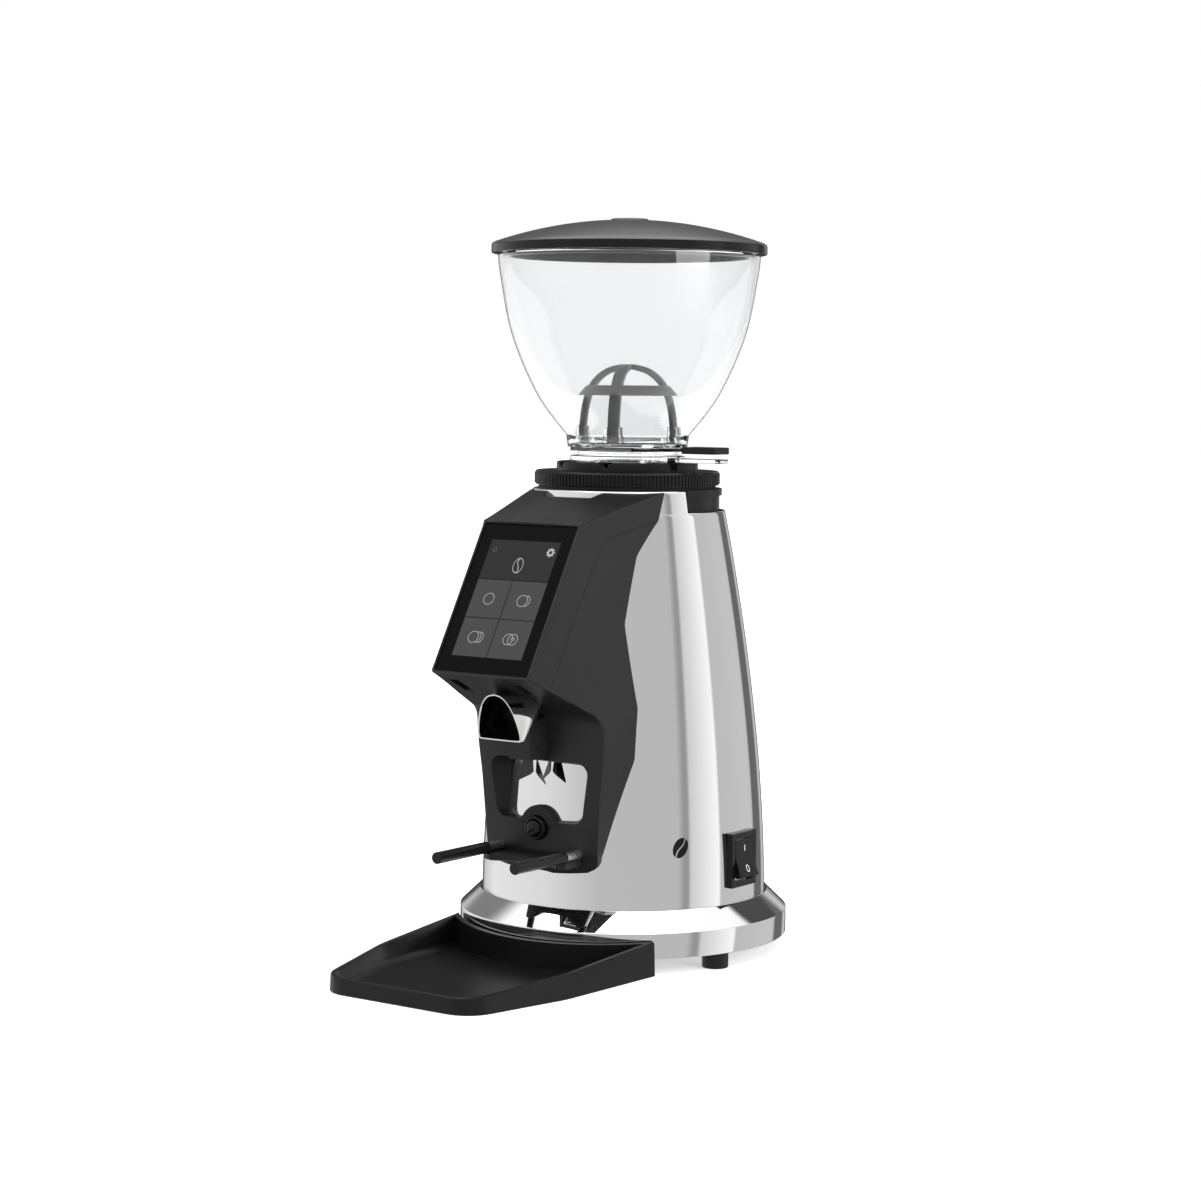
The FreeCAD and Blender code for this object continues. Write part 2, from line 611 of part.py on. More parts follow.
def portafilter_clip():
    """Spring steel strip under the block, its two wings spread outwards and forwards."""
    thick, top = size("clip_thickness"), size("block_bottom")
    front, rear = size("clip_front"), size("clip_rear")
    root, root_rear = size("clip_root"), size("clip_root_rear")
    strip = Part.makeBox(2 * root, front - rear, thick, Vector(-root, -front, top - thick))
    wings = []
    for side in (-1, 1):
        plate = Part.Face(polygon([
            (side * root, -front, top), (side * size("clip_tip"), -front,
                                         top - size("clip_drop")),
            (side * (size("clip_tip") - thick), -front, top - size("clip_drop")),
            (side * (root - thick), -front, top)]))
        back_plate = Part.Face(polygon([
            (side * root_rear, -rear, top), (side * size("clip_tip_rear"), -rear,
                                             top - size("clip_drop_rear")),
            (side * (size("clip_tip_rear") - thick), -rear, top - size("clip_drop_rear")),
            (side * (root_rear - thick), -rear, top)]))
        wings.append(lofted([plate.OuterWire, back_plate.OuterWire]))
    subpart("portafilter_clip", feature("portafilter_clip", strip.multiFuse(wings)))


def start_button():
    subpart("button_collar", tube("button_collar", "collar_radius",
                                  "button_radius + button_gap", "collar_thickness",
                                  y="-boss_face", z="button_height", rotation=AWAY))
    seat = "(boss_face - 4 - button_gap)"
    stem = cylinder("button_stem", "button_radius", "button_face - " + seat,
                    y="-" + seat, z="button_height", rotation=AWAY)
    head = cylinder("button_head", "button_head_radius", "2",
                    y="-" + seat + " + 2", z="button_height", rotation=AWAY)
    subpart("start_button", fuse("start_button", stem, head))
    spring_front = "(%s - 2.1)" % seat
    subpart("button_spring", tube("button_spring", "3.4", "2.6", "button_travel + 2",
                                  y="-%s + button_travel + 2" % spring_front,
                                  z="button_height", rotation=AWAY))
    subpart("button_switch", cylinder("button_switch", "button_head_radius", "6",
                                      y="-%s + button_travel + 8.1" % spring_front,
                                      z="button_height", rotation=AWAY))


def fork():
    rear = "shell_radius + 0.6"
    rods = [cylinder("fork_rod_" + hand, "rod_radius", "fork_tip - 3 - sqrt(pow(%s; 2) - "
                     "pow(fork_half_span; 2))" % rear, x="%d * fork_half_span" % side,
                     y="-sqrt(pow(%s; 2) - pow(fork_half_span; 2))" % rear,
                     z="fork_height", rotation=AWAY)
            for hand, side in (("left", -1), ("right", 1))]
    subpart("fork_rods", fuse("fork_rods", *rods))
    for hand, side in (("left", -1), ("right", 1)):
        solid = cylinder("sleeve_solid_" + hand, "sleeve_radius", "fork_tip - sleeve_start",
                         x="%d * fork_half_span" % side, y="-sleeve_start", z="fork_height",
                         rotation=AWAY)
        bore = cylinder("sleeve_bore_" + hand, "rod_radius", "fork_tip - sleeve_start - 3",
                        x="%d * fork_half_span" % side, y="-sleeve_start", z="fork_height",
                        rotation=AWAY)
        subpart("fork_sleeve_" + hand, cut("fork_sleeve_" + hand, solid, bore))
    # web under the rods, its front edge hollowed between them
    top = size("fork_height") - size("rod_radius")
    thick, half = size("fork_plate_thickness"), size("fork_plate_half")
    rear_depth = size("ankle_depth") + size("ankle_bow") + 0.05
    root = size("sleeve_start") - 0.5
    web = Part.Face(polygon([
        (-half, -rear_depth, top - thick), (-half, -root + 3, top - thick),
        (-half + 6, -root, top - thick), (-half * 0.45, -root + 4, top - thick),
        (half * 0.45, -root + 4, top - thick), (half - 6, -root, top - thick),
        (half, -root + 3, top - thick), (half, -rear_depth, top - thick)]))
    subpart("fork_plate", feature("fork_plate", web.extrude(Vector(0, 0, thick))))


# --------------------------------------------------------------- rocker switch
def rocker_switch():
    wide, tall, wall = "switch_body_width", "switch_body_height", "switch_wall"
    face = "shell_radius + bezel_gap"
    sunk = "bezel_thickness"          # the rim reaches in to the curved shell
    rim = box("bezel_rim", "bezel_thickness + " + sunk, "bezel_width", "bezel_height",
              face + " - " + sunk, "rocker_offset - bezel_width / 2",
              "rocker_height - bezel_height / 2")
    centre, reach = size("rocker_height"), size("bezel_height")
    form = feature("bezel_form", shell_solid(size("bezel_gap"), centre - reach, centre + reach))
    shank = box("bezel_shank", "switch_body_depth", wide, tall, face + " - switch_body_depth",
                "rocker_offset - %s / 2" % wide, "rocker_height - %s / 2" % tall)
    well = box("bezel_well", "switch_body_depth", wide + " - 2 * " + wall,
               tall + " - 2 * " + wall, face + " - switch_body_depth + bezel_thickness + 4",
               "rocker_offset - %s / 2 + %s" % (wide, wall),
               "rocker_height - %s / 2 + %s" % (tall, wall))
    pivot_x = face + " - pivot_inset"
    pivot_holes = cylinder("pivot_holes", "pivot_radius + pivot_gap", wide, pivot_x,
                           "rocker_offset + %s / 2" % wide, "rocker_height", rotation=AWAY)
    solid = fuse("bezel_solid", cut("bezel_rim_shaped", rim, form), shank)
    subpart("switch_bezel", cut("switch_bezel", solid, well, pivot_holes))
    # paddle with two facets that meet in a shallow valley, resting with its foot out
    half = (size(tall) / 2 - size(wall) - size("rocker_gap") - size("rocker_play"))
    thick = size(wide) - 2 * size(wall) - 2 * size("rocker_gap")
    proud = size("bezel_thickness") + size("rocker_proud")
    drop = math.tan(math.radians(size("rocker_tilt"))) * half
    edge = proud - size("rocker_proud") * 1.06
    paddle = Part.Face(polygon([
        (-6, 0, -half * 0.45), (edge, 0, -half), (proud, 0, -half), (proud - drop, 0, 0),
        (proud, 0, half), (edge, 0, half), (-6, 0, half * 0.45)]))
    paddle = paddle.extrude(Vector(0, thick, 0))
    paddle.translate(Vector(0, -thick / 2, 0))
    stub = size(wide) / 2
    pin = Part.makeCylinder(size("pivot_radius"), 2 * stub, Vector(0, -stub, 0), Vector(0, 1, 0))
    item = feature("rocker", paddle.fuse(pin))
    item.Placement = Placement(Vector(size("shell_radius") + size("bezel_gap")
                                      - size("pivot_inset"), size("rocker_offset"), centre),
                               Rotation(Vector(0, 1, 0), -size("rocker_tilt")))
    subpart("rocker", item)


# ---------------------------------------------------------------- burr chamber
def burr_housing():
    cup = revolved("housing_cup", [
        ("bearing_radius", "housing_bottom"), ("housing_radius", "housing_bottom"),
        ("housing_radius", "housing_top"), ("housing_bore", "housing_top"),
        ("housing_bore", "housing_bottom + housing_floor"),
        ("bearing_radius", "housing_bottom + housing_floor")])
    outlet = cylinder("housing_outlet", "outlet_radius", "housing_radius * 2",
                      z="outlet_height", rotation=AWAY)
    drilled = cut("housing_drilled", cup, outlet)
    # rear jacket and lip, seen above the lowered part of the shell's rim
    low = size("notch_height") + size("jacket_gap")
    top, lip = size("housing_top"), size("housing_lip_bottom")
    jacket = Part.makeCylinder(size("housing_jacket"), lip - low, Vector(0, 0, low))
    jacket = jacket.fuse(Part.makeCylinder(size("housing_lip"), top - lip, Vector(0, 0, lip)))
    jacket = jacket.cut(Part.makeCylinder(size("housing_radius") - 0.5, TALL, Vector(0, 0, 0)))
    half = 180 - size("notch_angle") - 1
    sector = Part.makeCylinder(TALL, TALL, Vector(), Vector(0, 0, 1), 2 * half)
    sector.rotate(Vector(), Vector(0, 0, 1), 90 - half)
    rear = feature("housing_jacket", jacket.common(sector))
    subpart("burr_housing", fuse("burr_housing", drilled, rear))


def grinding_set():
    low, thick = "lower_carrier_bottom", "lower_carrier_thickness"
    disc = tube("lower_carrier_disc", "lower_carrier_radius", "shaft_radius", thick, z=low)
    subpart("lower_burr_carrier", disc)
    subpart("lower_burr", burr("lower_burr", "%s + %s" % (low, thick), up=True))
    upper_start = "%s + %s + burr_thickness + burr_gap" % (low, thick)
    subpart("upper_burr", burr("upper_burr", upper_start, up=False))
    carrier_low = upper_start + " + burr_thickness"
    outer = "housing_bore - carrier_gap"
    bean_bore = "spigot_radius + spigot_gap"
    subpart("upper_burr_carrier", revolved("upper_burr_carrier", [
        ("burr_bore", carrier_low), (outer, carrier_low), (outer, "carrier_top"),
        (bean_bore, "carrier_top"),
        (bean_bore, "spigot_bottom - spigot_gap - carrier_travel"),
        ("burr_bore", carrier_low + " + 3")]))
    for name, start, length in (("lower", "%s + %s" % (low, thick), thick),
                                ("upper", carrier_low, "3")):
        head = start if name == "lower" else start + " - burr_thickness * 0.6"
        screws = around(name + "_burr_screws", 3, lambda i, angle: cylinder(
            "%s_burr_screw_%d" % (name, i), "1.5", "burr_thickness * 0.6",
            "(burr_radius + burr_bore) / 2 * %.12g" % math.cos(angle),
            "(burr_radius + burr_bore) / 2 * %.12g" % math.sin(angle),
            head))
        subpart(name + "_burr_screws", screws)


def burr(name, bottom, up):
    """Flat burr with a ring of cutting grooves and three screw holes."""
    body = doc.addObject("PartDesign::Body", name + "_body")
    pad = body.newObject("PartDesign::Pad", name + "_pad")
    sketch = body.newObject("Sketcher::SketchObject", name + "_rings")
    plane = [item for item in body.Origin.OriginFeatures if item.Role == "XY_Plane"][0]
    sketch.AttachmentSupport = [(plane, "")]
    sketch.MapMode = "FlatFace"
    for number, alias in enumerate(("burr_radius", "burr_bore")):
        sketch.addGeometry(Part.Circle(Vector(), Vector(0, 0, 1), size(alias)), False)
        sketch.addConstraint(Sketcher.Constraint("Coincident", number, 3, -1, 1))
        held = sketch.addConstraint(Sketcher.Constraint("Radius", number, size(alias)))
        sketch.setExpression("Constraints[%d]" % held, bound(alias))
    pad.Profile = sketch
    pad.setExpression("Length", bound("burr_thickness"))
    place(body, z=bottom)
    face = bottom + (" + burr_thickness - tooth_depth" if up else "")
    grooves = []
    teeth = int(size("burr_teeth"))
    for tooth in range(teeth):
        turn = Rotation(Vector(0, 0, 1), 360 * tooth / teeth)
        grooves.append(box("%s_groove_%d" % (name, tooth), "burr_radius", "tooth_width",
                           "tooth_depth", z=face, rotation=turn))
    holes = around(name + "_screw_holes", 3, lambda i, angle: cylinder(
        "%s_screw_hole_%d" % (name, i), "1.5", "burr_thickness * 0.6",
        "(burr_radius + burr_bore) / 2 * %.12g" % math.cos(angle),
        "(burr_radius + burr_bore) / 2 * %.12g" % math.sin(angle),
        bottom + ("" if up else " + burr_thickness * 0.4")))
    return cut(name, body, fuse(name + "_grooves", *grooves), holes)


def adjustment_ring():
    inner = "housing_bore"
    ring = revolved("adjust_ring", [
        (inner, "ring_bottom"), ("ring_radius", "ring_bottom"),
        ("ring_radius", "ring_top - ring_chamfer"), ("ring_radius - ring_chamfer", "ring_top"),
        ("top_collar_bore", "ring_top"), ("top_collar_bore", "ring_top - ring_web"),
        (inner, "ring_top - ring_web")])
    subpart("adjust_ring", ring)
    collar = tube("collar_blank", "top_collar_radius", "top_collar_bore",
                  "top_collar_top - ring_top", z="ring_top")
    count = int(size("collar_notches"))
    notches = around("collar_notch_set", count, notch, start=size("first_notch"))
    subpart("ring_collar", cut("ring_collar", collar, notches))
    subpart("thrust_washer", tube("thrust_washer", "housing_radius - 1", inner + " + 1",
                                  "ring_bottom - housing_top - washer_gap", z="housing_top"))


def notch(index, angle):
    """Square bar turned onto its edge, which cuts a V into the collar's top edge."""
    turn = Rotation(Vector(0, 0, 1), math.degrees(angle)).multiply(
        Rotation(Vector(1, 0, 0), 45))
    return box("collar_notch_%d" % index, "collar_notch_width * 2", "collar_notch_depth",
               "collar_notch_depth",
               "(top_collar_radius - collar_notch_width) * %.12g" % math.cos(angle),
               "(top_collar_radius - collar_notch_width) * %.12g" % math.sin(angle),
               "top_collar_top - collar_notch_depth / 1.41421356", turn)


# --------------------------------------------------------- neck, gate, hopper
def hopper_neck():
    disc = cylinder("neck_disc", "neck_disc_radius", "neck_disc_top - neck_disc_bottom",
                    z="neck_disc_bottom")
    tongue = box("neck_tongue", "gate_reach", "2 * tongue_half_width", "tongue_thickness",
                 y="-tongue_half_width", z="neck_disc_bottom")
    column = cylinder("neck_column", "neck_radius", "neck_top - neck_disc_top",
                      z="neck_disc_top")
    spigot = cylinder("neck_spigot", "spigot_radius", "neck_disc_bottom - spigot_bottom",
                      z="spigot_bottom")
    rails = [box("neck_rail_" + hand, "neck_bore * 2", "rail_width",
                 "hopper_bottom - neck_top", "-neck_bore", y, "neck_top")
             for hand, y in (("front", "-gate_half_width - gate_gap - rail_width"),
                             ("back", "gate_half_width + gate_gap"))]
    solid = fuse("neck_solid", disc, tongue, column, spigot, *rails)
    bore = cylinder("neck_bore_tool", "neck_bore", "hopper_top", z="spigot_bottom - 1")
    subpart("hopper_neck", cut("hopper_neck", solid, bore))


def gate():
    level = "neck_top + gate_gap"
    blade = box("gate_blade", "neck_bore + 4 + handle_start", "2 * gate_half_width",
                "gate_thickness", "-neck_bore - 2", "-gate_half_width", level)
    corners = box("gate_narrowing", "handle_start", "2 * handle_half_width",
                  "gate_thickness", "neck_bore", "-handle_half_width", level)
    handle = box("gate_handle", "gate_reach - handle_start", "2 * handle_half_width",
                 "handle_thickness", "handle_start", "-handle_half_width",
                 level + " - (handle_thickness - gate_thickness) / 2")
    trims = [box("gate_trim_" + hand, "handle_start", "gate_half_width",
                 "gate_thickness", "neck_bore + 8", y, level)
             for hand, y in (("front", "-gate_half_width - handle_half_width"),
                             ("back", "handle_half_width"))]
    slim = cut("gate_slim", blade, *trims)
    subpart("gate", fuse("gate", slim, corners, handle))


def hopper():
    bottom, flange_top = size("hopper_bottom"), size("hopper_flange_top")
    wall, bore = size("hopper_wall"), size("neck_bore")
    flange = size("hopper_flange_radius")
    rise = [(size("funnel_start_radius"), size("funnel_start")),
            (size("funnel_low_radius"), size("funnel_low")),
            (size("funnel_mid_radius"), size("funnel_mid")),
            (size("funnel_high_radius"), size("funnel_high")),
            (size("hopper_top_radius"), size("hopper_top"))]
    outside = turned([line((0, bottom), (flange, bottom)), line((flange, bottom), rise[0]),
                      smooth(rise), line(rise[-1], (0, rise[-1][1])),
                      line((0, rise[-1][1]), (0, bottom))])
    inner = [(radius - wall, height + (wall if height == rise[0][1] else 0))
             for radius, height in rise]
    inner[-1] = (inner[-1][0], inner[-1][1] + 1)
    floor = (inner[0][0] - 1, flange_top)
    inside = turned([line((0, flange_top), floor), line(floor, inner[0]), smooth(inner),
                     line(inner[-1], (0, inner[-1][1])),
                     line((0, inner[-1][1]), (0, flange_top))])
    shape = outside.cut(inside).cut(Part.makeCylinder(bore, 20, Vector(0, 0, bottom - 5)))
    # three sockets that hold the legs of the bean guard
    for slab in guard_slabs(size("guard_width") / 2 + size("guard_gap") + size("socket_wall")):
        ring = band(size("guard_radius") + size("guard_gap") + size("socket_wall"),
                    size("guard_radius") - size("guard_strip") - size("guard_gap")
                    - size("socket_wall"), flange_top - 0.5, flange_top + size("socket_height"))
        shape = shape.fuse(ring.common(slab).common(outside))
    for slab in guard_slabs(size("guard_width") / 2 + size("guard_gap")):
        ring = band(size("guard_radius") + size("guard_gap"),
                    size("guard_radius") - size("guard_strip") - size("guard_gap"),
                    flange_top, flange_top + size("socket_height") + 1)
        shape = shape.cut(ring.common(slab))
    subpart("hopper", feature("hopper", shape.removeSplitter()))


def band(outer, inner, low, high):
    """Cylindrical ring about Z."""
    ring = Part.makeCylinder(outer, high - low, Vector(0, 0, low))
    return ring.cut(Part.makeCylinder(inner, high - low, Vector(0, 0, low)))


def guard_slabs(half_width):
    """Three radial slabs, one along each leg of the bean guard."""
    slabs = []
    for leg in range(3):
        slab = Part.makeBox(TALL, 2 * half_width, TALL, Vector(0, -half_width, 0))
        slab.rotate(Vector(), Vector(0, 0, 1), size("guard_turn") + size("guard_leg_step") * leg)
        slabs.append(slab)
    return slabs


def bean_guard():
    """Cage of three legs that bow in to an apex, with a conical ring round them."""
    radius, strip, eye = size("guard_radius"), size("guard_strip"), size("guard_eye")
    low, high, apex = size("guard_ring_bottom"), size("guard_ring_top"), size("guard_apex")
    leg_foot = size("hopper_flange_top") + size("guard_gap")
    straight = leg_foot + size("socket_height")

    def bow(inset):
        points = [(size("guard_" + part), size("guard_" + part + "_height"))
                  for part in ("waist", "shoulder", "haunch")]
        return smooth([(radius - inset, straight)] + [(edge - inset, height - inset * 0.6)
                                                      for edge, height in points]
                      + [(eye, apex - inset)])

    cage = turned([bow(0), line((eye, apex), (eye, apex - strip)), bow(strip),
                   line((radius - strip, straight), (radius, straight))])
    legs = band(radius, radius - strip, leg_foot, straight)
    top = radius - size("guard_ring_lean")
    corners = [(radius, low), (top, high), (top - strip, high), (radius - strip, low)]
    ring = turned([line(start, end) for start, end in zip(corners, corners[1:] + corners[:1])])
    slabs = guard_slabs(size("guard_width") / 2)
    arms = [solid.common(slab) for slab in slabs for solid in (cage, legs)]
    hub = Part.makeCylinder(size("guard_width") / 2, strip + 0.4,
                            Vector(0, 0, apex - strip - 0.4))
    subpart("bean_guard", feature("bean_guard", ring.multiFuse(arms + [hub]).removeSplitter()))


def lid():
    radius, low, band_top = size("lid_radius"), size("lid_bottom"), size("lid_band_top")
    top, wall = size("lid_top"), size("lid_wall")
    disc, rise = size("lid_disc_radius"), size("lid_disc_rise")
    rim = size("funnel_high_radius") - size("hopper_wall") - size("lid_gap")
    seat = size("hopper_top") + size("lid_gap")
    skirt = size("hopper_top_radius") + size("lid_gap")
    crown = top - rise

    def bow(edge, edge_height, apex):
        sphere = (edge ** 2 + (apex - edge_height) ** 2) / (2 * (apex - edge_height))
        middle = edge / 2
        sag = sphere - math.sqrt(sphere ** 2 - middle ** 2)
        return Part.Arc(Vector(edge, 0, edge_height), Vector(middle, 0, apex - sag),
                        Vector(0, 0, apex)).toShape()

    outside = turned([line((0, low), (radius, low)), line((radius, low), (radius - 0.7, band_top)),
                      bow(radius - 0.7, band_top, crown), line((0, crown), (0, low))])
    under = [line((0, low - 1), (skirt, low - 1)), line((skirt, low - 1), (skirt, seat)),
             line((skirt, seat), (rim, seat)), line((rim, seat), (rim - 1, band_top - wall)),
             bow(rim - 1, band_top - wall, crown - wall), line((0, crown - wall), (0, low - 1))]
    shape = outside.cut(turned(under))
    shape = shape.fuse(band(rim, rim - wall, low - size("lid_rim_drop"), seat + 1))
    shape = shape.fuse(Part.makeCylinder(disc, rise + 0.6, Vector(0, 0, crown - 0.6)))
    subpart("lid", feature("lid", shape.removeSplitter()))


# ------------------------------------------------------------------------ tray
def tray_plan(inset, height, lift=0.0):
    """Plan of the tray at a height: rounded front corners and leaning sides."""
    front, front_half = size("tray_front") - inset, size("tray_front_half") - inset
    corner = max(size("tray_corner") - inset, 1.5)
    middle, middle_half = size("tray_middle"), size("tray_middle_half") - inset
    rear, rear_half = size("tray_rear") + lift, size("tray_rear_half") - inset
    round_off = corner * (1 - math.sqrt(0.5))
    points = []
    for side, order in ((-1, 1), (1, -1)):
        half = [(side * rear_half, -rear), (side * middle_half, -middle),
                (side * front_half, -front + corner),
                (side * (front_half - round_off), -front + round_off),
                (side * (front_half - corner), -front)]
        points += half[::order]
    return polygon([(x, y, height) for x, y in points])


def coffee_tray():
    """Shallow tray hollowed to fit round the base ring, with a tongue under the base."""
    draft, wall, floor = size("tray_draft"), size("tray_wall"), size("tray_floor")
    tall = size("flange_band_top")
    solid = lofted([tray_plan(0, 0), tray_plan(draft * tall / 20, tall)])
    well = lofted([tray_plan(wall + draft * 0.2, floor), tray_plan(wall, tall + 1)])
    round_base = size("flange_radius") + size("tray_gap")
    around_base = Part.makeCylinder(round_base, TALL, Vector(0, 0, -1))
    well = well.cut(Part.makeCylinder(round_base + wall, TALL))
    slope = size("tray_slope")
    front, low = size("tray_front"), size("tray_front_height")
    over = Part.Face(polygon([(-TALL, -front - 50, low - 50 * slope),
                              (-TALL, 0, low + front * slope), (-TALL, 0, TALL),
                              (-TALL, -front - 50, TALL)])).extrude(Vector(2 * TALL, 0, 0))
    shape = solid.cut(around_base).cut(well).cut(over)
    half, high = size("tongue_half"), size("tongue_height")
    back = size("tongue_back")
    tongue = Part.makeBox(2 * half, round_base - back + 4, high, Vector(-half, -round_base - 4, 0.0))
    shape = shape.fuse(tongue.cut(well))
    subpart("coffee_tray", feature("coffee_tray", shape.removeSplitter()))


# ---------------------------------------------------------- motor and electrics
def post_set(name, circle, bottom, top, radius="post_radius", start=30):
    return around(name, 3, lambda i, angle: cylinder(
        "%s_%d" % (name, i), radius, "%s - (%s)" % (top, bottom),
        "%s * %.12g" % (circle, math.cos(angle)), "%s * %.12g" % (circle, math.sin(angle)),
        bottom), start=start)


def motor():
    plate_top = "foot_height + plate_thickness"
    lower = "bracket_height"
    lower_top = "bracket_height + bracket_thickness"
    stator_low = lower_top + " + stator_clearance"
    upper = stator_low + " + stator_length + stator_clearance"
    upper_top = upper + " + bracket_thickness"
    subpart("base_posts", post_set("base_posts", "post_circle", plate_top, lower))
    subpart("post_screws", post_set("post_screws", "post_circle", "foot_height", plate_top,
                                    "screw_radius"))
    for name, height, radius in (("lower", lower, "bracket_radius"),
                                 ("upper", upper, "bracket_radius - 4")):
        subpart("motor_bracket_" + name, tube("motor_bracket_" + name, radius,
                                              "bearing_radius", "bracket_thickness", z=height))
        subpart("bearing_" + name, tube("bearing_" + name, "bearing_radius",
                                        "shaft_radius + shaft_fit", "bracket_thickness",
                                        z=height))
    subpart("stator_posts", post_set("stator_posts", "post_circle", lower_top, upper))
    subpart("stator", tube("stator", "stator_radius", "rotor_radius + air_gap",
                           "stator_length", z=stator_low))
    subpart("housing_posts", post_set("housing_posts", "upper_post_circle", upper_top,
                                      "housing_bottom", start=90))
    subpart("motor_shaft", cylinder("motor_shaft", "shaft_radius",
                                    "lower_carrier_bottom + lower_carrier_thickness + 4 - ("
                                    "bracket_height - 4)", z="bracket_height - 4"))
    subpart("rotor", tube("rotor", "rotor_radius", "shaft_radius", "stator_length",
                          z=stator_low))
    subpart("cooling_fan", tube("cooling_fan", "fan_radius", "shaft_radius", "fan_thickness",
                                z=upper_top + " + 5"))
    subpart("shaft_seal", tube("shaft_seal", "bearing_radius", "shaft_radius + shaft_fit",
                               "housing_floor", z="housing_bottom"))


def electrics():
    plate_top = "foot_height + plate_thickness"
    subpart("capacitor", cylinder("capacitor", "capacitor_radius", "capacitor_length",
                                  y="capacitor_offset", z=plate_top))
    subpart("power_board", box("power_board", "board_length", "board_width",
                               "board_thickness", "-board_length / 2", "-board_width",
                               plate_top + " + board_lift"))
    subpart("board_standoffs", fuse("board_standoffs", *[
        cylinder("standoff_%d_%d" % (i, j), "screw_radius", "board_lift",
                 "%d * (board_length / 2 - 5)" % (2 * i - 1),
                 "-board_width * %g" % (0.1 + 0.8 * j), plate_top)
        for i in range(2) for j in range(2)]))


# ---------------------------------------------------------------- build it all
base_plate_and_ring()
feet()
cable_gland()
body_shell()
cover_shape = front_cover()
screen()
outlet_block(chute(), cover_shape)
portafilter_clip()
start_button()
fork()
rocker_switch()
burr_housing()
grinding_set()
adjustment_ring()
hopper_neck()
gate()
hopper()
bean_guard()
lid()
coffee_tray()
motor()
electrics()
doc.recompute()

for item in doc.Objects:
    broken = [word for word in ("Invalid", "Error") if word in item.State]
    if broken:
        raise RuntimeError("%s is %s" % (item.Name, broken[0]))
os.makedirs("parts", exist_ok=True)
for item in SUBPARTS:
    if item.Shape.isNull() or not item.Shape.isValid() or not item.Shape.Solids:
        raise RuntimeError("%s has no valid solid" % item.Label)
    item.Shape.exportStep("parts/%s.step" % item.Label)
print("%d sub-parts written" % len(SUBPARTS))
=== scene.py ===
import json
import math

import bmesh
import bpy
from mathutils import Matrix, Vector

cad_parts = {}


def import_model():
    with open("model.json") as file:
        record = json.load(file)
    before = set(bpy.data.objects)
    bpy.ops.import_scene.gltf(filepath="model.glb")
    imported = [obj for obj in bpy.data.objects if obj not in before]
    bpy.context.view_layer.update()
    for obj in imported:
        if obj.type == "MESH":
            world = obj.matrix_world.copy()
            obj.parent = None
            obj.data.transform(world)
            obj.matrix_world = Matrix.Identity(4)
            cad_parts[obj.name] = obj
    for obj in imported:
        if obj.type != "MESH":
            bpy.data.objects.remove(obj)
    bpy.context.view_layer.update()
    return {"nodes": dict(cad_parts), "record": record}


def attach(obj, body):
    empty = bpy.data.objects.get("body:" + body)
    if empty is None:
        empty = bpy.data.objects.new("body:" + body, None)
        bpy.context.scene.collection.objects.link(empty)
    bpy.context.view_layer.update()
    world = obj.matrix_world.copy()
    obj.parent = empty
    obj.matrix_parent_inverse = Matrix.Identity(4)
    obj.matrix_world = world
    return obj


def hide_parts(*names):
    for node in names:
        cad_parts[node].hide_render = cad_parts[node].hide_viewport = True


# Looks of the coffee grinder.
MM = 0.001

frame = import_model()
record = frame["record"]
BODY_OF = {node: body for body, nodes in record["behaviour"]["bodies"].items()
           for node in nodes}
SLOT_OF = {part["node"]: part["material_slot"] for part in record["subparts"]}


# ---- camera
def camera():
    """Long lens level with the hopper, tipped down, 35 degrees round to the switch's side."""
    azimuth, turn = math.radians(34.99), math.radians(0.53)
    pitch, roll = math.radians(4.59), math.radians(0.52)
    distance, height = 1651.5 * MM, 339.4 * MM
    heading = azimuth + turn
    forward = Vector((-math.sin(heading) * math.cos(pitch),
                      math.cos(heading) * math.cos(pitch), -math.sin(pitch)))
    level = Vector((math.cos(heading), math.sin(heading), 0))
    upright = level.cross(forward)
    right = level * math.cos(roll) + upright * math.sin(roll)
    top = upright * math.cos(roll) - level * math.sin(roll)
    lens = bpy.data.cameras.new("camera")
    focal, far_limit = 82.98, 50.0
    lens.lens, lens.sensor_width, lens.clip_end = focal, 36.0, far_limit
    eye = bpy.data.objects.new("camera", lens)
    eye.matrix_world = Matrix((
        (right.x, top.x, -forward.x, math.sin(azimuth) * distance),
        (right.y, top.y, -forward.y, -math.cos(azimuth) * distance),
        (right.z, top.z, -forward.z, height), (0, 0, 0, 1)))
    bpy.context.scene.collection.objects.link(eye)
    bpy.context.scene.camera = eye


camera()


# ---- materials
def nodes_of(name):
    made = bpy.data.materials.new(name)
    made.use_nodes = True
    tree = made.node_tree
    return made, tree, tree.nodes["Principled BSDF"]


def noise(tree, scale, detail=3.0, stretch=(1, 1, 1)):
    """Noise texture in the object's own space, in features per metre."""
    place = tree.nodes.new("ShaderNodeTexCoord")
    mapping = tree.nodes.new("ShaderNodeMapping")
    mapping.inputs["Scale"].default_value = stretch
    texture = tree.nodes.new("ShaderNodeTexNoise")
    texture.inputs["Scale"].default_value = scale
    texture.inputs["Detail"].default_value = detail
    tree.links.new(place.outputs["Object"], mapping.inputs["Vector"])
    tree.links.new(mapping.outputs["Vector"], texture.inputs["Vector"])
    return texture.outputs["Fac"]


def mapped(tree, source, low, high, to=(0.0, 1.0), smooth=False):
    """Value of a source as it goes from low to high, mapped onto the range to."""
    change = tree.nodes.new("ShaderNodeMapRange")
    change.interpolation_type = "SMOOTHSTEP" if smooth else "LINEAR"
    for name, value in zip(("From Min", "From Max", "To Min", "To Max"), (low, high, *to)):
        change.inputs[name].default_value = value
    tree.links.new(source, change.inputs["Value"])
    return change.outputs["Result"]


def glossed(tree, shader, source, low, high):
    """Roughness between low and high, from the middle of a noise's range."""
    tree.links.new(mapped(tree, source, 0.3, 0.7, (low, high)), shader.inputs["Roughness"])


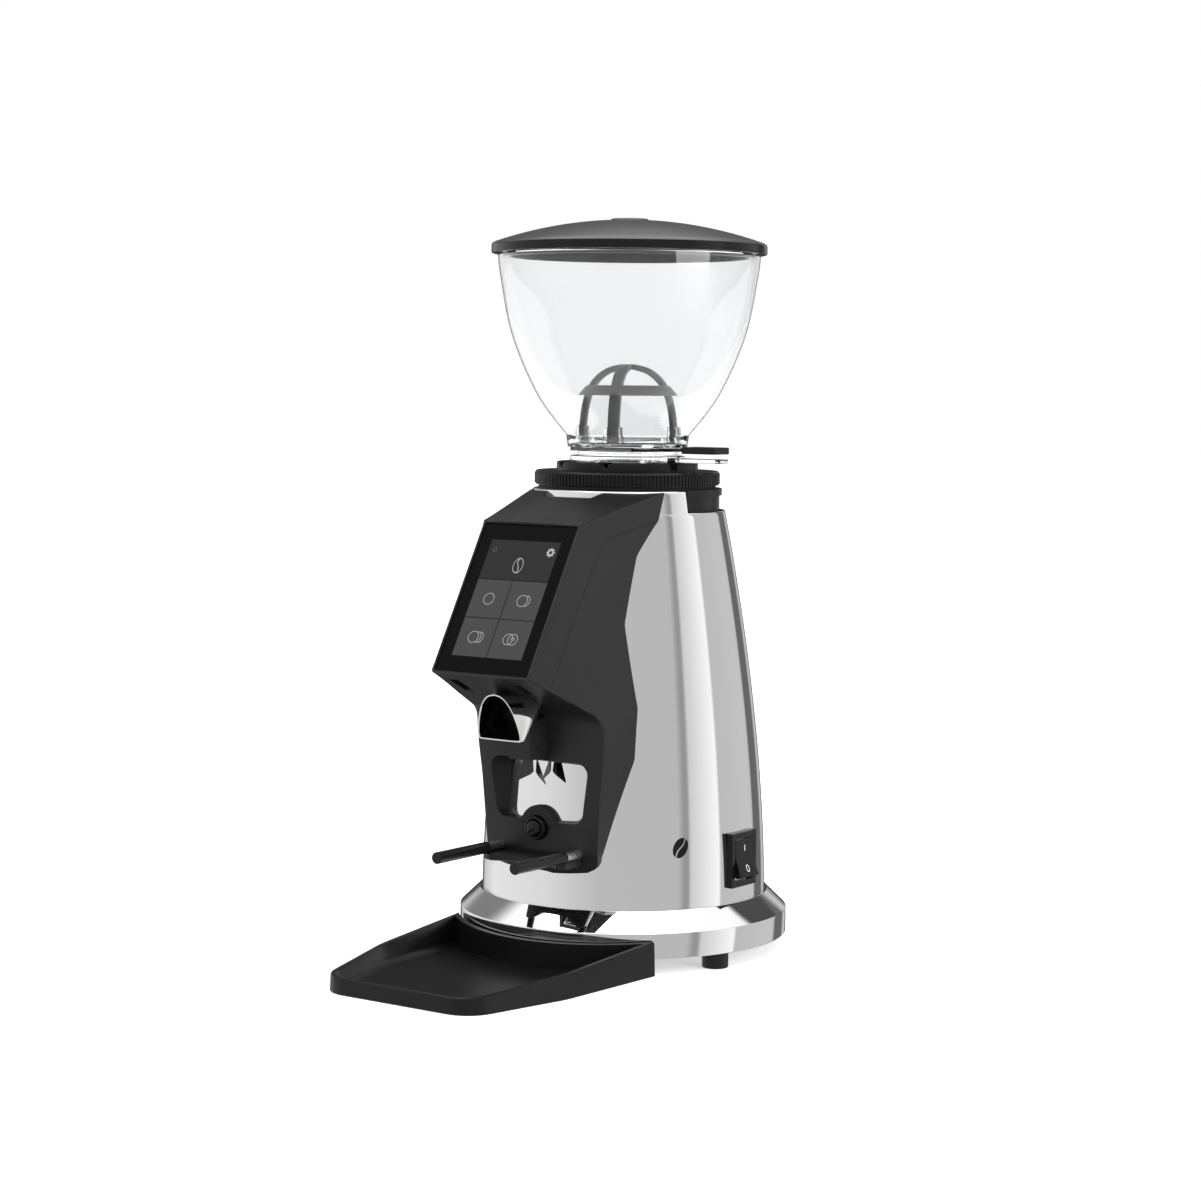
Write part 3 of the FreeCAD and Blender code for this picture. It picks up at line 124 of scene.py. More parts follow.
def bumped(tree, shader, source, strength, depth):
    bump = tree.nodes.new("ShaderNodeBump")
    bump.inputs["Strength"].default_value = strength
    bump.inputs["Distance"].default_value = depth * MM
    tree.links.new(source, bump.inputs["Height"])
    tree.links.new(bump.outputs["Normal"], shader.inputs["Normal"])


def tinted(tree, shader, source, dark, light):
    ramp = tree.nodes.new("ShaderNodeValToRGB")
    ramp.color_ramp.elements[0].position = 0.3
    ramp.color_ramp.elements[0].color = (*dark, 1)
    ramp.color_ramp.elements[1].position = 0.7
    ramp.color_ramp.elements[1].color = (*light, 1)
    tree.links.new(source, ramp.inputs["Fac"])
    tree.links.new(ramp.outputs["Color"], shader.inputs["Base Color"])


def moulded(name, grey, roughness, grain=900.0, depth=0.02, shine=0.5):
    """Moulded plastic or rubber: fine spark grain, slight colour and gloss variation."""
    made, tree, shader = nodes_of(name)
    spread = 0.12
    broad = noise(tree, 14.0, 4.0)
    tinted(tree, shader, broad, [value * (1 - spread) for value in grey],
           [value * (1 + spread) for value in grey])
    glossed(tree, shader, broad, roughness * 0.92, roughness * 1.08)
    shader.inputs["Specular IOR Level"].default_value = shine
    bumped(tree, shader, noise(tree, grain), 0.35, depth)
    return made


def metal(name, grey, roughness, stretch=(1, 1, 1), grain=300.0, depth=0.004):
    """Bare or plated metal with faint marks drawn out along the polishing direction."""
    made, tree, shader = nodes_of(name)
    marks = noise(tree, grain, 4.0, stretch)
    shader.inputs["Metallic"].default_value = 1.0
    tinted(tree, shader, noise(tree, 9.0), [value * 0.98 for value in grey], grey)
    glossed(tree, shader, marks, roughness * 0.7, roughness * 1.3)
    bumped(tree, shader, marks, 0.12, depth)
    return made


def clear(name, tint, roughness):
    """Clear moulded plastic with a faint tint and slightly uneven gloss."""
    made, tree, shader = nodes_of(name)
    shader.inputs["Base Color"].default_value = (*tint, 1)
    shader.inputs["IOR"].default_value = 1.49
    shader.inputs["Transmission Weight"].default_value = 1.0
    glossed(tree, shader, noise(tree, 40.0, 2.0), roughness * 0.6, roughness * 1.4)
    return made


def lit(name, grey):
    """Display pixels under the glass: nearly black, and glowing grey."""
    made, tree, shader = nodes_of(name)
    tinted(tree, shader, noise(tree, 4000.0, 1.0), [0.003] * 3, [0.004] * 3)
    shader.inputs["Roughness"].default_value = 0.08
    shader.inputs["Specular IOR Level"].default_value = 0.06
    shader.inputs["Emission Color"].default_value = (*[grey] * 3, 1)
    shader.inputs["Emission Strength"].default_value = 1.0
    return made


MATERIALS = {
    "polished_body": metal("polished_body", (0.86, 0.86, 0.86), 0.022, (1, 1, 0.05)),
    "black_cover": moulded("black_cover", (0.011, 0.011, 0.0114), 0.42, shine=0.28),
    "screen": moulded("screen", (0.0015, 0.0015, 0.0015), 0.05, depth=0.0, shine=0.06),
    "display": moulded("display", (0.08, 0.08, 0.085), 0.3),
    "chrome_chute": metal("chrome_chute", (0.80, 0.80, 0.79), 0.08),
    "spring_steel": metal("spring_steel", (0.80, 0.80, 0.78), 0.34, (1, 6, 1)),
    "black_rubber": moulded("black_rubber", (0.007, 0.007, 0.0073), 0.30, 1400.0, 0.01, shine=0.24),
    "gloss_black": moulded("gloss_black", (0.004, 0.004, 0.0042), 0.15, depth=0.003, shine=0.26),
    "black_metal": moulded("black_metal", (0.006, 0.006, 0.0063), 0.30, 1200.0, 0.01, shine=0.22),
    "clear_plastic": clear("clear_plastic", (0.955, 0.96, 0.965), 0.02),
    "grey_plastic": moulded("grey_plastic", (0.10, 0.10, 0.099), 0.40),
    # Lid grey ten times the band's black: painted light on the upward-facing dome.
    "lid_plastic": moulded("lid_plastic", (0.040, 0.040, 0.041), 0.30, shine=0.9),
    "tray_plastic": moulded("tray_plastic", (0.006, 0.006, 0.0063), 0.30, shine=0.22),
    "cast_aluminium": metal("cast_aluminium", (0.62, 0.62, 0.62), 0.38, grain=120.0, depth=0.02),
    "machine_steel": metal("machine_steel", (0.50, 0.50, 0.50), 0.28),
    "white_plastic": moulded("white_plastic", (0.62, 0.62, 0.60), 0.5),
    "circuit_board": moulded("circuit_board", (0.02, 0.11, 0.05), 0.35),
}
LIT_HEADER, LIT_TILE = lit("lit_header", 0.027), lit("lit_tile", 0.066)
LIT_LINE, LIT_DIM = lit("lit_line", 0.50), lit("lit_dim", 0.12)
CLIP_STEEL = metal("clip_steel", (0.075, 0.074, 0.070), 0.20)
# Dark grey metal for the scoop's inside faces: painted shade in the hollow of the polished chute.
CHUTE_INSIDE_SHADE = metal("chute_inside_painted_shade", (0.085, 0.082, 0.072), 0.30)
# Near-black matte grey for dark joint lines, and also painted shade on the chin slots' walls and in
# the block's screw pockets.
SEAM_AND_SHADE = moulded("seam", (0.004, 0.004, 0.004), 0.7)
MARK_WHITE = moulded("mark_white", (0.62, 0.62, 0.62), 0.5)

for node, item in frame["nodes"].items():
    item.data.materials.clear()
    item.data.materials.append(MATERIALS[SLOT_OF[node]])
frame["nodes"]["thrust_washer"].data.materials[0] = SEAM_AND_SHADE


# ---- mesh makers
def piece(name, vertices, faces, material, body=None, angle=32.0):
    """Mesh object in millimetre coordinates, riding on a body, smooth up to an angle."""
    mesh = bpy.data.meshes.new(name)
    mesh.from_pydata([Vector(point) * MM for point in vertices], [], faces)
    mesh.validate()
    item = bpy.data.objects.new(name, mesh)
    bpy.context.scene.collection.objects.link(item)
    mesh.materials.append(material)
    tidy_normals(item, angle)
    if body:
        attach(item, body)
    return item


def tidy_normals(item, angle=32.0):
    shape = bmesh.new()
    shape.from_mesh(item.data)
    bmesh.ops.remove_doubles(shape, verts=shape.verts, dist=1e-6)
    bmesh.ops.recalc_face_normals(shape, faces=shape.faces)
    shape.to_mesh(item.data)
    shape.free()
    item.data.shade_smooth()
    item.data.set_sharp_from_angle(angle=math.radians(angle))


def grid_faces(rows, columns, wrap_rows=False, wrap_columns=False):
    faces = []
    for row in range(rows if wrap_rows else rows - 1):
        for column in range(columns if wrap_columns else columns - 1):
            next_row, next_column = (row + 1) % rows, (column + 1) % columns
            faces.append((row * columns + column, row * columns + next_column,
                          next_row * columns + next_column, next_row * columns + column))
    return faces


def strip_faces(count):
    """Quads of a strip whose points come in pairs."""
    return [(2 * k, 2 * k + 1, 2 * k + 3, 2 * k + 2) for k in range(count)]


def polar(radius, turn, height, across=0.0):
    """Point about the body's axis, moved sideways by across; turn 0 is the front."""
    return (radius * math.sin(turn) + across * math.cos(turn),
            -radius * math.cos(turn) + across * math.sin(turn), height)


def circle(radius, count):
    """Points (x, y) round a full turn."""
    turns = [2 * math.pi * step / count for step in range(count)]
    return [(radius * math.cos(turn), radius * math.sin(turn)) for turn in turns]


def skinned(name, loops, material, body, angle=32.0, closed=True):
    """Surface through equal closed loops; closed joins the last loop to the first."""
    vertices = [point for loop in loops for point in loop]
    faces = grid_faces(len(loops), len(loops[0]), closed, True)
    return piece(name, vertices, faces, material, body, angle)


def lathe(name, profile, material, body, segments=256, closed=True, angle=32.0, ripple=None):
    """Profile of (radius, height) about the body's axis; ripple adds to a step's radius."""
    loops = [[polar(radius + (ripple(step, radius, height) if ripple else 0.0),
                    2 * math.pi * step / segments, height) for step in range(segments)]
             for radius, height in profile]
    return skinned(name, loops, material, body, angle, closed)


def dressed(item, material, body, angle=32.0):
    """Gives a carved or lofted solid its one material and its body."""
    item.data.materials.clear()
    item.data.materials.append(material)
    tidy_normals(item, angle)
    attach(item, body)
    return item


def curve_through(points, steps):
    """Catmull-Rom curve through points, with steps samples in each span."""
    ends = [points[0]] + list(points) + [points[-1]]
    samples = []
    for span in range(len(points) - 1):
        a, b, c, d = ends[span:span + 4]
        for step in range(steps):
            t = step / steps
            samples.append(tuple(
                0.5 * (2 * q + (r - p) * t + (2 * p - 5 * q + 4 * r - s) * t * t
                       + (3 * q - p - 3 * r + s) * t ** 3)
                for p, q, r, s in zip(a, b, c, d)))
    samples.append(tuple(points[-1]))
    return samples


def rounded(points, radii, steps=6):
    """Polyline with its inner corners replaced by arcs of the given radii."""
    line = [Vector(point) for point in points]
    out = [line[0]]
    for before, corner, after, radius in zip(line, line[1:], line[2:], radii):
        if radius <= 0:
            out.append(corner)
            continue
        back, ahead = (before - corner).normalized(), (after - corner).normalized()
        half = back.angle(ahead) / 2
        reach = min(radius / math.tan(half), (before - corner).length * 0.48,
                    (after - corner).length * 0.48)
        bow = reach * math.tan(half)
        middle = corner + (back + ahead).normalized() * (reach / math.cos(half))
        start, end = corner + back * reach - middle, corner + ahead * reach - middle
        for step in range(steps + 1):
            share = step / steps
            ray = start.lerp(end, share).normalized()
            out.append(middle + ray * bow)
    out.append(line[-1])
    return out


def outward(path):
    """Unit direction (radius, height) square to an outline at each of its points."""
    ways = []
    for index in range(len(path)):
        before, after = path[max(index - 1, 0)], path[min(index + 1, len(path) - 1)]
        run, rise = after[0] - before[0], after[1] - before[1]
        length = math.hypot(run, rise)
        ways.append((rise / length, -run / length))
    return ways


def stands_for(item, *nodes):
    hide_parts(*nodes)
    return item


def softened(node, width):
    """Copy of a CAD node with its hard edges rounded; it stands for the node."""
    item = bpy.data.objects.new(node + "_moulded", frame["nodes"][node].data.copy())
    item.data.name = item.name
    bpy.context.scene.collection.objects.link(item)
    shape = bmesh.new()
    shape.from_mesh(item.data)
    bmesh.ops.remove_doubles(shape, verts=shape.verts, dist=2e-6)
    bmesh.ops.dissolve_limit(shape, angle_limit=math.radians(0.6), verts=shape.verts,
                             edges=shape.edges)
    shape.to_mesh(item.data)
    shape.free()
    item.data.shade_smooth()
    bevelled(item, width, 3, 35.0)
    weighted = item.modifiers.new("normals", "WEIGHTED_NORMAL")
    weighted.keep_sharp, weighted.weight = True, 80
    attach(item, BODY_OF[node])
    stands_for(item, node)


def bevelled(item, width, segments, angle):
    bevel = item.modifiers.new("edge", "BEVEL")
    bevel.width, bevel.segments, bevel.limit_method = width * MM, segments, "ANGLE"
    bevel.angle_limit = math.radians(angle)


def carved(item, tool, operation="DIFFERENCE", dark=False):
    """Applies a boolean of a throw-away tool object; dark keeps the tool's material on the cut
    faces, used for painted shade in the chin slots.
    """
    modifier = item.modifiers.new("carve", "BOOLEAN")
    modifier.material_mode = "TRANSFER" if dark else "INDEX"
    modifier.object, modifier.operation, modifier.solver = tool, operation, "EXACT"
    graph = bpy.context.evaluated_depsgraph_get()
    mesh = bpy.data.meshes.new_from_object(item.evaluated_get(graph))
    item.modifiers.remove(modifier)
    old = item.data
    item.data = mesh
    bpy.data.meshes.remove(old)
    bpy.data.objects.remove(tool)


# ---- body of metal
SHELL_FOOT, SHELL_TOP, NOTCH_FLOOR = 35.0, 274.0, 261.5
SHELL_WIDE, SHELL_TAPER, TAPER_POWER = 84.8, 28.9, 1.72
NOTCH_HALF = 72.2


def shell_radius(height):
    share = max((height - SHELL_FOOT) / (SHELL_TOP - SHELL_FOOT), 0.0)
    return SHELL_WIDE - SHELL_TAPER * share ** TAPER_POWER


def body_shell():
    """Polished shell: full turn up to the notch floor, front sector above it."""
    rim, wall, rows, count, steps = 0.4, 1.5, 90, 289, 6
    low, rise = NOTCH_FLOOR, SHELL_TOP - NOTCH_FLOOR
    polished = MATERIALS["polished_body"]

    def rolled(height):
        """Outline over the softened upper edge at a height."""
        edge = shell_radius(height)
        return [(shell_radius(height - rim), height - rim),
                (edge - rim * 0.3, height - rim * 0.3), (edge - rim, height),
                (edge - wall, height)]

    heights = [SHELL_FOOT + (low - SHELL_FOOT) * row / rows for row in range(rows)]
    profile = [(shell_radius(z), z) for z in heights] + rolled(low)
    profile.append((shell_radius(low) - wall, low - 8))
    turned = lathe("body_shell_polished", profile, polished, "base", 720, closed=False, angle=50)
    stands_for(turned, "body_shell")
    heights = [low - 1] + [low + rise * step / steps for step in range(steps)]
    section = [(shell_radius(z), z) for z in heights] + rolled(SHELL_TOP)
    section.append((shell_radius(low) - wall, low - 1))
    vertices = [polar(radius, math.radians(NOTCH_HALF * (2 * step / (count - 1) - 1)), height)
                for radius, height in section for step in range(count)]
    faces = grid_faces(len(section), count, True, False)
    faces += [tuple(row * count for row in range(len(section))),
              tuple(row * count + count - 1 for row in reversed(range(len(section))))]
    piece("shell_front_rim", vertices, faces, polished, "base", 50)


def base_ring():
    """Ring round the foot of the shell, chamfered down to an upright band."""
    outer, low, band_top, ledge, bore = 98.0, 9.5, 24.0, 32.0, 80.0
    inner, top_run = outer - 3.0, SHELL_WIDE + 1.7
    profile = rounded([(inner, low), (outer, low), (outer, band_top), (top_run, SHELL_FOOT),
                       (bore, SHELL_FOOT), (bore, ledge), (85.3, ledge), (inner, 22.8)],
                      [0.5, 0.9, 0.5, 0.3, 0.3, 0.3, 0.3], 4)
    ring = lathe("base_ring_polished", profile, MATERIALS["polished_body"], "base", 512,
                 angle=60)
    stands_for(ring, "base_ring")


# ---- front cover
FACE_TILT, FACE_HALF, FACE_LONG = 30.0, 34.5, 96.5
FACE_LOW, FACE_LOW_DEPTH = 173.4, 142.6
FACE_HIGH = FACE_LOW + FACE_LONG * math.cos(math.radians(FACE_TILT))
FACE_HIGH_DEPTH = FACE_LOW_DEPTH - FACE_LONG * math.sin(math.radians(FACE_TILT))
ROOF_HEIGHT, RIDGE_DEPTH, CREST_DEPTH = 273.6, 30.6, 57.0
CHIN_DEPTH, CHIN_HEIGHT, HEM = 86.4, 146.2, 54.5
CHIN_SLOPE = (FACE_LOW - CHIN_HEIGHT) / (FACE_LOW_DEPTH - CHIN_DEPTH)
# (height, half width) of the front edge, then where the side meets the shell; BOW holds how
# far the front bulges in its middle
FRONT_HALF = [(68.0, 39.8), (108.0, 42.6), (126.0, 44.8), (138.0, 45.8), (147.0, 44.6),
              (156.4, 41.0), (167.0, 36.2), (FACE_LOW, FACE_HALF), (FACE_HIGH, FACE_HALF),
              (ROOF_HEIGHT, 47.2)]
REAR_HALF = [(54.5, 35.0), (58.7, 36.1), (121.3, 50.4), (150.7, 49.7), (198.3, 39.5),
             (237.3, 40.9), (257.5, 47.3), (ROOF_HEIGHT, 47.4)]
BOW = [(54.5, 3.6), (68.0, 3.6), (108.0, 3.0), (126.0, 2.6), (140.7, 2.0), (147.0, 1.0),
       (156.4, 0.0), (FACE_HIGH, 0.0), (ROOF_HEIGHT, CREST_DEPTH - RIDGE_DEPTH)]


def between(table, height):
    """Straight-line reading of a table of (height, value)."""
    if height <= table[0][0]:
        return table[0][1]
    for (low, first), (high, second) in zip(table, table[1:]):
        if height <= high:
            return first + (second - first) * (height - low) / (high - low)
    return table[-1][1]


def eased(table, height, reach=2.5):
    """Table reading averaged over a short reach, which rounds its kinks."""
    steps = (-1.0, -0.5, 0.0, 0.5, 1.0)
    return sum(between(table, height + reach * step) for step in steps) / len(steps)


def cover_contour():
    """(depth, height) along the front corner line, from the hem to the roof."""
    corners = [(80.6, HEM), (82.8, 68.0), (CHIN_DEPTH, CHIN_HEIGHT),
               (FACE_LOW_DEPTH, FACE_LOW), (FACE_HIGH_DEPTH, FACE_HIGH),
               (RIDGE_DEPTH, ROOF_HEIGHT)]
    path, row_gap = rounded(corners, [8.0, 13.0, 1.6, 2.0], 7), 2.5
    dense = []
    for start, end in zip(path, path[1:]):
        parts = max(1, int(math.ceil((end - start).length / row_gap)))
        dense += [start.lerp(end, part / parts) for part in range(parts)]
    return dense + [path[-1]]


def hem_round(height):
    """How far the lower corners are drawn in near the hem."""
    rise, most = 9.0, 8.0
    share = max(0.0, (HEM + rise - height) / rise)
    return most * (1 - math.sqrt(max(0.0, 1 - share * share)))


def cover_row(depth, height):
    """Closed section of the cover at one height, from the left round to the right."""
    buried, side_steps, front_steps, corner_radius = 5.0, 9, 14, 3.0
    hem_lift, hem_rise, hem_half = 2.6, 14.0, 34.0
    drawn_in = hem_round(height)
    front = eased(FRONT_HALF, height) - drawn_in
    rear = eased(REAR_HALF, height, 1.2) - drawn_in * 0.9
    bow = eased(BOW, height)
    meet = math.sqrt(shell_radius(height) ** 2 - rear ** 2)
    inside = buried / max(depth - meet, 4.0)
    half = [Vector((rear + (rear - front) * inside, meet - buried))]
    half += [Vector((rear, meet)).lerp(Vector((front, depth)), step / side_steps)
             for step in range(1, side_steps)]
    half.append(Vector((front, depth)))
    for step in range(1, front_steps + 1):
        x = front * (1 - step / front_steps)
        half.append(Vector((x, depth + bow * (1 - (x / front) ** 2))))
    trio = half[side_steps - 1:side_steps + 2]
    arc = rounded(trio, [min(corner_radius, depth - meet)], 6)
    half = half[:side_steps] + arc[1:-1] + half[side_steps + 1:]
    low = hem_lift * max(0.0, 1 - (height - HEM) / hem_rise)
    right = [(x, -y, height + low * (x / hem_half) ** 2) for x, y in half]
    return right + [(-x, y, z) for x, y, z in reversed(right[:-1])]


def front_cover():
    rows = [cover_row(depth, height) for depth, height in cover_contour()]
    cover = lofted("front_cover_moulded", rows, MATERIALS["black_cover"])
    for tool in (window_tool(), glass_recess(), roof_notch()):
        carved(cover, tool)
    # The slots' walls keep the near-black tool material: painted shade in the pockets.
    for centre in (-26.7, 17.2):
        carved(cover, chin_slot(centre), dark=True)
    carved(cover, button_hump(), "UNION")
    carved(cover, button_bore())
    tidy_normals(cover, 24)
    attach(cover, "base")
    stands_for(cover, "front_cover")


def lofted(name, loops, material=SEAM_AND_SHADE):
    """Closed solid through equal loops, on no body yet."""
    columns = len(loops[0])
    vertices = [point for loop in loops for point in loop]
    faces = grid_faces(len(loops), columns, False, True)
    faces += [tuple(range(columns))[::-1],
              tuple(range(len(vertices) - columns, len(vertices)))]
    return piece(name, vertices, faces, material)


def ring_of(points, radii, steps=5):
    """Closed polygon with every corner rounded."""
    count = len(points)
    out = []
    for index in range(count):
        trio = [points[index - 1], points[index], points[(index + 1) % count]]
        out += rounded(trio, [radii[index]], steps)[1:-1]
    return out


def window_tool():
    """Window through the lower frame: rounded opening with a wide bevel before it."""
    loops = []
    lintel, sill, throat, bevel = 117.8, 86.0, 77.5, 9.0
    for share, corner in ((2.6, 9.0), (1.0, 7.0), (0.0, 5.2), (-0.25, 5.0), (-2.5, 5.0)):
        flare = max(share, 0.0)
        top_half, low_half = 28.8 + 7.5 * flare, 25.8 + 5.1 * flare
        top, low = lintel + 2.2 * flare, sill - 1.4 * flare
        depth = throat + bevel * share
        outline = ring_of([(-low_half, low), (low_half, low), (top_half, top),
                           (-top_half, top)], [corner] * 4)
        loops.append([(x, -depth, z) for x, z in outline])
    return lofted("window_tool", loops)


def face_point(x, along, out):
    """Point on the screen face: x across, along up the slope, out towards the viewer."""
    tilt = math.radians(FACE_TILT)
    middle_depth = (FACE_LOW_DEPTH + FACE_HIGH_DEPTH) / 2
    middle_height = (FACE_LOW + FACE_HIGH) / 2
    return (x, -(middle_depth - along * math.sin(tilt) + out * math.cos(tilt)),
            middle_height + along * math.cos(tilt) + out * math.sin(tilt))


def glass_recess():
    outline = ring_of(face_box(-33.0, 33.0, -47.0, 47.0), [1.2] * 4)
    loops = [[face_point(x * (1 + flare / 60), y * (1 + flare / 90), out) for x, y in outline]
             for out, flare in ((-2.8, 0), (-0.35, 0), (0.6, 1.0), (4.0, 1.0))]
    return lofted("glass_recess", loops)


def roof_notch():
    half, floor, rise = 17.0, 270.2, 6.0
    loops = [[(-half, y, floor), (half, y, floor), (half + rise, y, floor + rise),
              (-half - rise, y, floor + rise)] for y in (-75.0, -30.0)]
    return lofted("roof_notch", loops)


def chin_slot(centre):
    """Pocket in the slope under the head, beside the chute; its near-black tool material is painted
    shade on the pocket's walls.
    """
    half, front, rear = 3.4, 132.0, 115.0
    corners = ((centre - half, front), (centre + half, front), (centre + half, rear),
               (centre - half, rear))
    loops = [[(x, -depth, CHIN_HEIGHT + (depth - CHIN_DEPTH) * CHIN_SLOPE + shift)
              for x, depth in corners] for shift in (-6.0, 7.0)]
    return lofted("chin_slot", loops)


BUTTON_HEIGHT = 80.6


def button_hump():
    """Rise of the window's sill over the start button, with a soft front edge."""
    crown, fillet, sill, sunk, steps = 12.9, 7.0, 83.5, 0.8, 6
    drop = sill - BUTTON_HEIGHT
    reach = math.sqrt((crown + fillet) ** 2 - (drop + fillet) ** 2)
    joint = math.atan2(drop + fillet, reach)
    outline = [(-reach, sill - sunk), (reach, sill - sunk)]
    for step in range(steps + 1):
        turn = math.pi / 2 + (math.pi / 2 - joint) * step / steps
        outline.append((reach + fillet * math.cos(turn), sill + fillet - fillet * math.sin(turn)))
    for step in range(1, 24):
        turn = joint + (math.pi - 2 * joint) * step / 24
        outline.append((crown * math.cos(turn), BUTTON_HEIGHT + crown * math.sin(turn)))
    for step in range(steps + 1):
        turn = joint + (math.pi / 2 - joint) * step / steps
        outline.append((-reach + fillet * math.cos(turn), sill + fillet - fillet * math.sin(turn)))
    loops = []
    for depth, inset in ((74.0, 0.0), (85.6, 0.0), (86.7, 0.35), (87.4, 1.2)):
        loops.append([(x * (1 - inset / crown), -depth, z - (inset if z > sill + 3 else 0.0))
                      for x, z in outline])
    return lofted("button_hump", loops)


def button_bore():
    loops = [[(x, -depth, BUTTON_HEIGHT + z) for x, z in circle(7.4, 72)]
             for depth in (84.5, 95.0)]
    return lofted("button_bore", loops)


def ribbon(name, points, half, side):
    """Thin dark line on the cover along points, facing out to one side."""
    vertices = []
    for index, point in enumerate(points):
        here = Vector(point)
        ahead = Vector(points[min(index + 1, len(points) - 1)])
        back = Vector(points[max(index - 1, 0)])
        across = (ahead - back).cross(Vector((side, 0, 0))).normalized() * half
        vertices += [here - across, here + across]
    piece(name, vertices, strip_faces(len(points) - 1), SEAM_AND_SHADE, "base")


# ---- screen
def face_patch(name, outline, out, material):
    vertices = [face_point(x, y, out) for x, y in outline]
    piece(name, vertices, [tuple(range(len(outline)))], material, "base")


def face_box(x_low, x_high, y_low, y_high):
    return [(x_low, y_low), (x_high, y_low), (x_high, y_high), (x_low, y_high)]


def annulus(name, x, y, radius, width, out, material=LIT_LINE, start=0, sweep=360,
            narrow=1.0, count=48):
    """Line round an arc on the screen face; narrow squeezes it sideways."""
    vertices = []
    for step in range(count + 1):
        turn = math.radians(start + sweep * step / count)
        for reach in (radius - width / 2, radius + width / 2):
            vertices.append(face_point(x + reach * narrow * math.sin(turn),
                                       y + reach * math.cos(turn), out))
    piece(name, vertices, strip_faces(count), material, "base")


def screen():
    """Black glass with a lit header and four tiles of plain dose icons."""
    outline = ring_of(face_box(-32.7, 32.7, -46.7, 46.7), [1.2] * 4, 4)
    front, rim = -1.1, 0.25
    loops = [[face_point(x, y, front - 1.6) for x, y in outline],
             [face_point(x, y, front - rim) for x, y in outline],
             [face_point(x * 0.993, y * 0.995, front) for x, y in outline]]
    stands_for(dressed(lofted("screen_glass_sheet", loops), MATERIALS["screen"], "base"),
               "screen_glass")
    out, wide, tall, gap = -1.06, 24.55, 36.8, 0.45
    split = tall - 0.345 * 2 * tall
    middle = (split - tall) / 2
    face_patch("lit_header", face_box(-wide, wide, split + gap, tall), out, LIT_HEADER)
    for column, (x_low, x_high) in enumerate(((-wide, -gap), (gap, wide))):
        for row, (y_low, y_high) in enumerate(((-tall, middle - gap), (middle + gap, split))):
            face_patch("lit_tile_%d_%d" % (row, column), face_box(x_low, x_high, y_low, y_high),
                       out, LIT_TILE)
    face_patch("lit_rules", face_box(-wide, wide, -tall, split), out - 0.02, LIT_HEADER)
    icons(out + 0.03, wide, tall, split, middle)


def icons(lift, wide, tall, split, middle):
    """Doses as overlapping rings, a gear and a status dot in the header, and a bean."""
    line, big, shown = 0.34, 3.5, (10, 160)
    top, low, left, right = (split + middle) / 2, (middle - tall) / 2, -wide / 2, wide / 2
    for name, x, y, radius, sweep in (
            ("single", left, top, big, (0, 360)),
            ("double_a", right - 0.9, top, big, (0, 360)),
            ("double_b", right + 0.9, top, big, shown),
            ("triple_a", left - 1.6, low, big, (0, 360)),
            ("triple_0", left + 0.1, low, big, shown),
            ("triple_1", left + 1.8, low, big, shown),
            ("manual_a", right - 1.6, low, 3.3, (0, 360)),
            ("manual_b", right + 1.6, low, 3.3, (0, 360)),
            ("manual_c", right + 1.6, low, 1.2, (-120, 240))):
        annulus("icon_" + name, x, y, radius, line, lift, LIT_LINE, *sweep)
    gear_x, gear_y, teeth, tooth_reach = wide - 5.0, tall - 6.5, 8, 2.3
    annulus("icon_gear", gear_x, gear_y, 1.6, 1.0, lift)
    for tooth in range(teeth):
        turn = 2 * math.pi * tooth / teeth
        annulus("icon_gear_tooth_%d" % tooth, gear_x + tooth_reach * math.sin(turn),
                gear_y + tooth_reach * math.cos(turn), 0.3, 0.6, lift)
    annulus("icon_status", -wide + 4.6, gear_y, 1.3, 0.35, lift, LIT_DIM)
    bean((split + tall) / 2 - 3.0, 4.6, lift)


def bean(y, size, out):
    """Plain coffee bean mark: an upright oval with a wavy line down the middle."""
    line, steps, sway = 0.5, 24, 0.9
    annulus("bean_oval", 0.0, y, size, line, out, narrow=0.72, count=56)
    vertices = []
    for step in range(steps + 1):
        share = step / steps
        for side in (-line / 2, line / 2):
            vertices.append(face_point(sway * math.sin(2 * math.pi * share) + side,
                                       y + size * (2 * share - 1), out))
    piece("bean_crease", vertices, strip_faces(steps), LIT_LINE, "base")


# ---- grind ring
def grind_ring():
    """Black ring with fine upright ribs round its rim."""
    ribs, steps = 144, 8

    def ripple(step, radius, height):
        if radius < 54.0 or not 277.0 < height < 283.4:
            return 0.0
        return -0.75 if step % steps in (0, 1, 2) else 0.0

    profile = [(42.3, 276.3), (54.4, 276.3), (54.6, 276.9), (55.2, 277.1), (55.2, 283.2),
               (54.8, 283.5), (54.5, 284.1), (53.9, 284.6), (36.0, 284.6), (36.0, 282.6),
               (42.3, 282.6)]
    ring = lathe("adjust_ring_ribbed", profile, MATERIALS["black_metal"], "ring",
                 ribs * steps, ripple=ripple)
    stands_for(ring, "adjust_ring")


# ---- side seam
def side_point(depth, height, out):
    """Point on the right side of the cover, moved out by a little."""
    front, rear = eased(FRONT_HALF, height), eased(REAR_HALF, height, 1.2)
    if height > FACE_HIGH:
        slope = (FACE_HIGH_DEPTH - RIDGE_DEPTH) / (ROOF_HEIGHT - FACE_HIGH)
        edge = FACE_HIGH_DEPTH - (height - FACE_HIGH) * slope
    elif height > FACE_LOW:
        edge = FACE_LOW_DEPTH - (height - FACE_LOW) * math.tan(math.radians(FACE_TILT))
    else:
        edge = CHIN_DEPTH + (height - CHIN_HEIGHT) / CHIN_SLOPE
    meet = math.sqrt(shell_radius(height) ** 2 - rear ** 2)
    across = front + (rear - front) * (edge - depth) / max(edge - meet, 1.0)
    return (across + out, -depth, height)


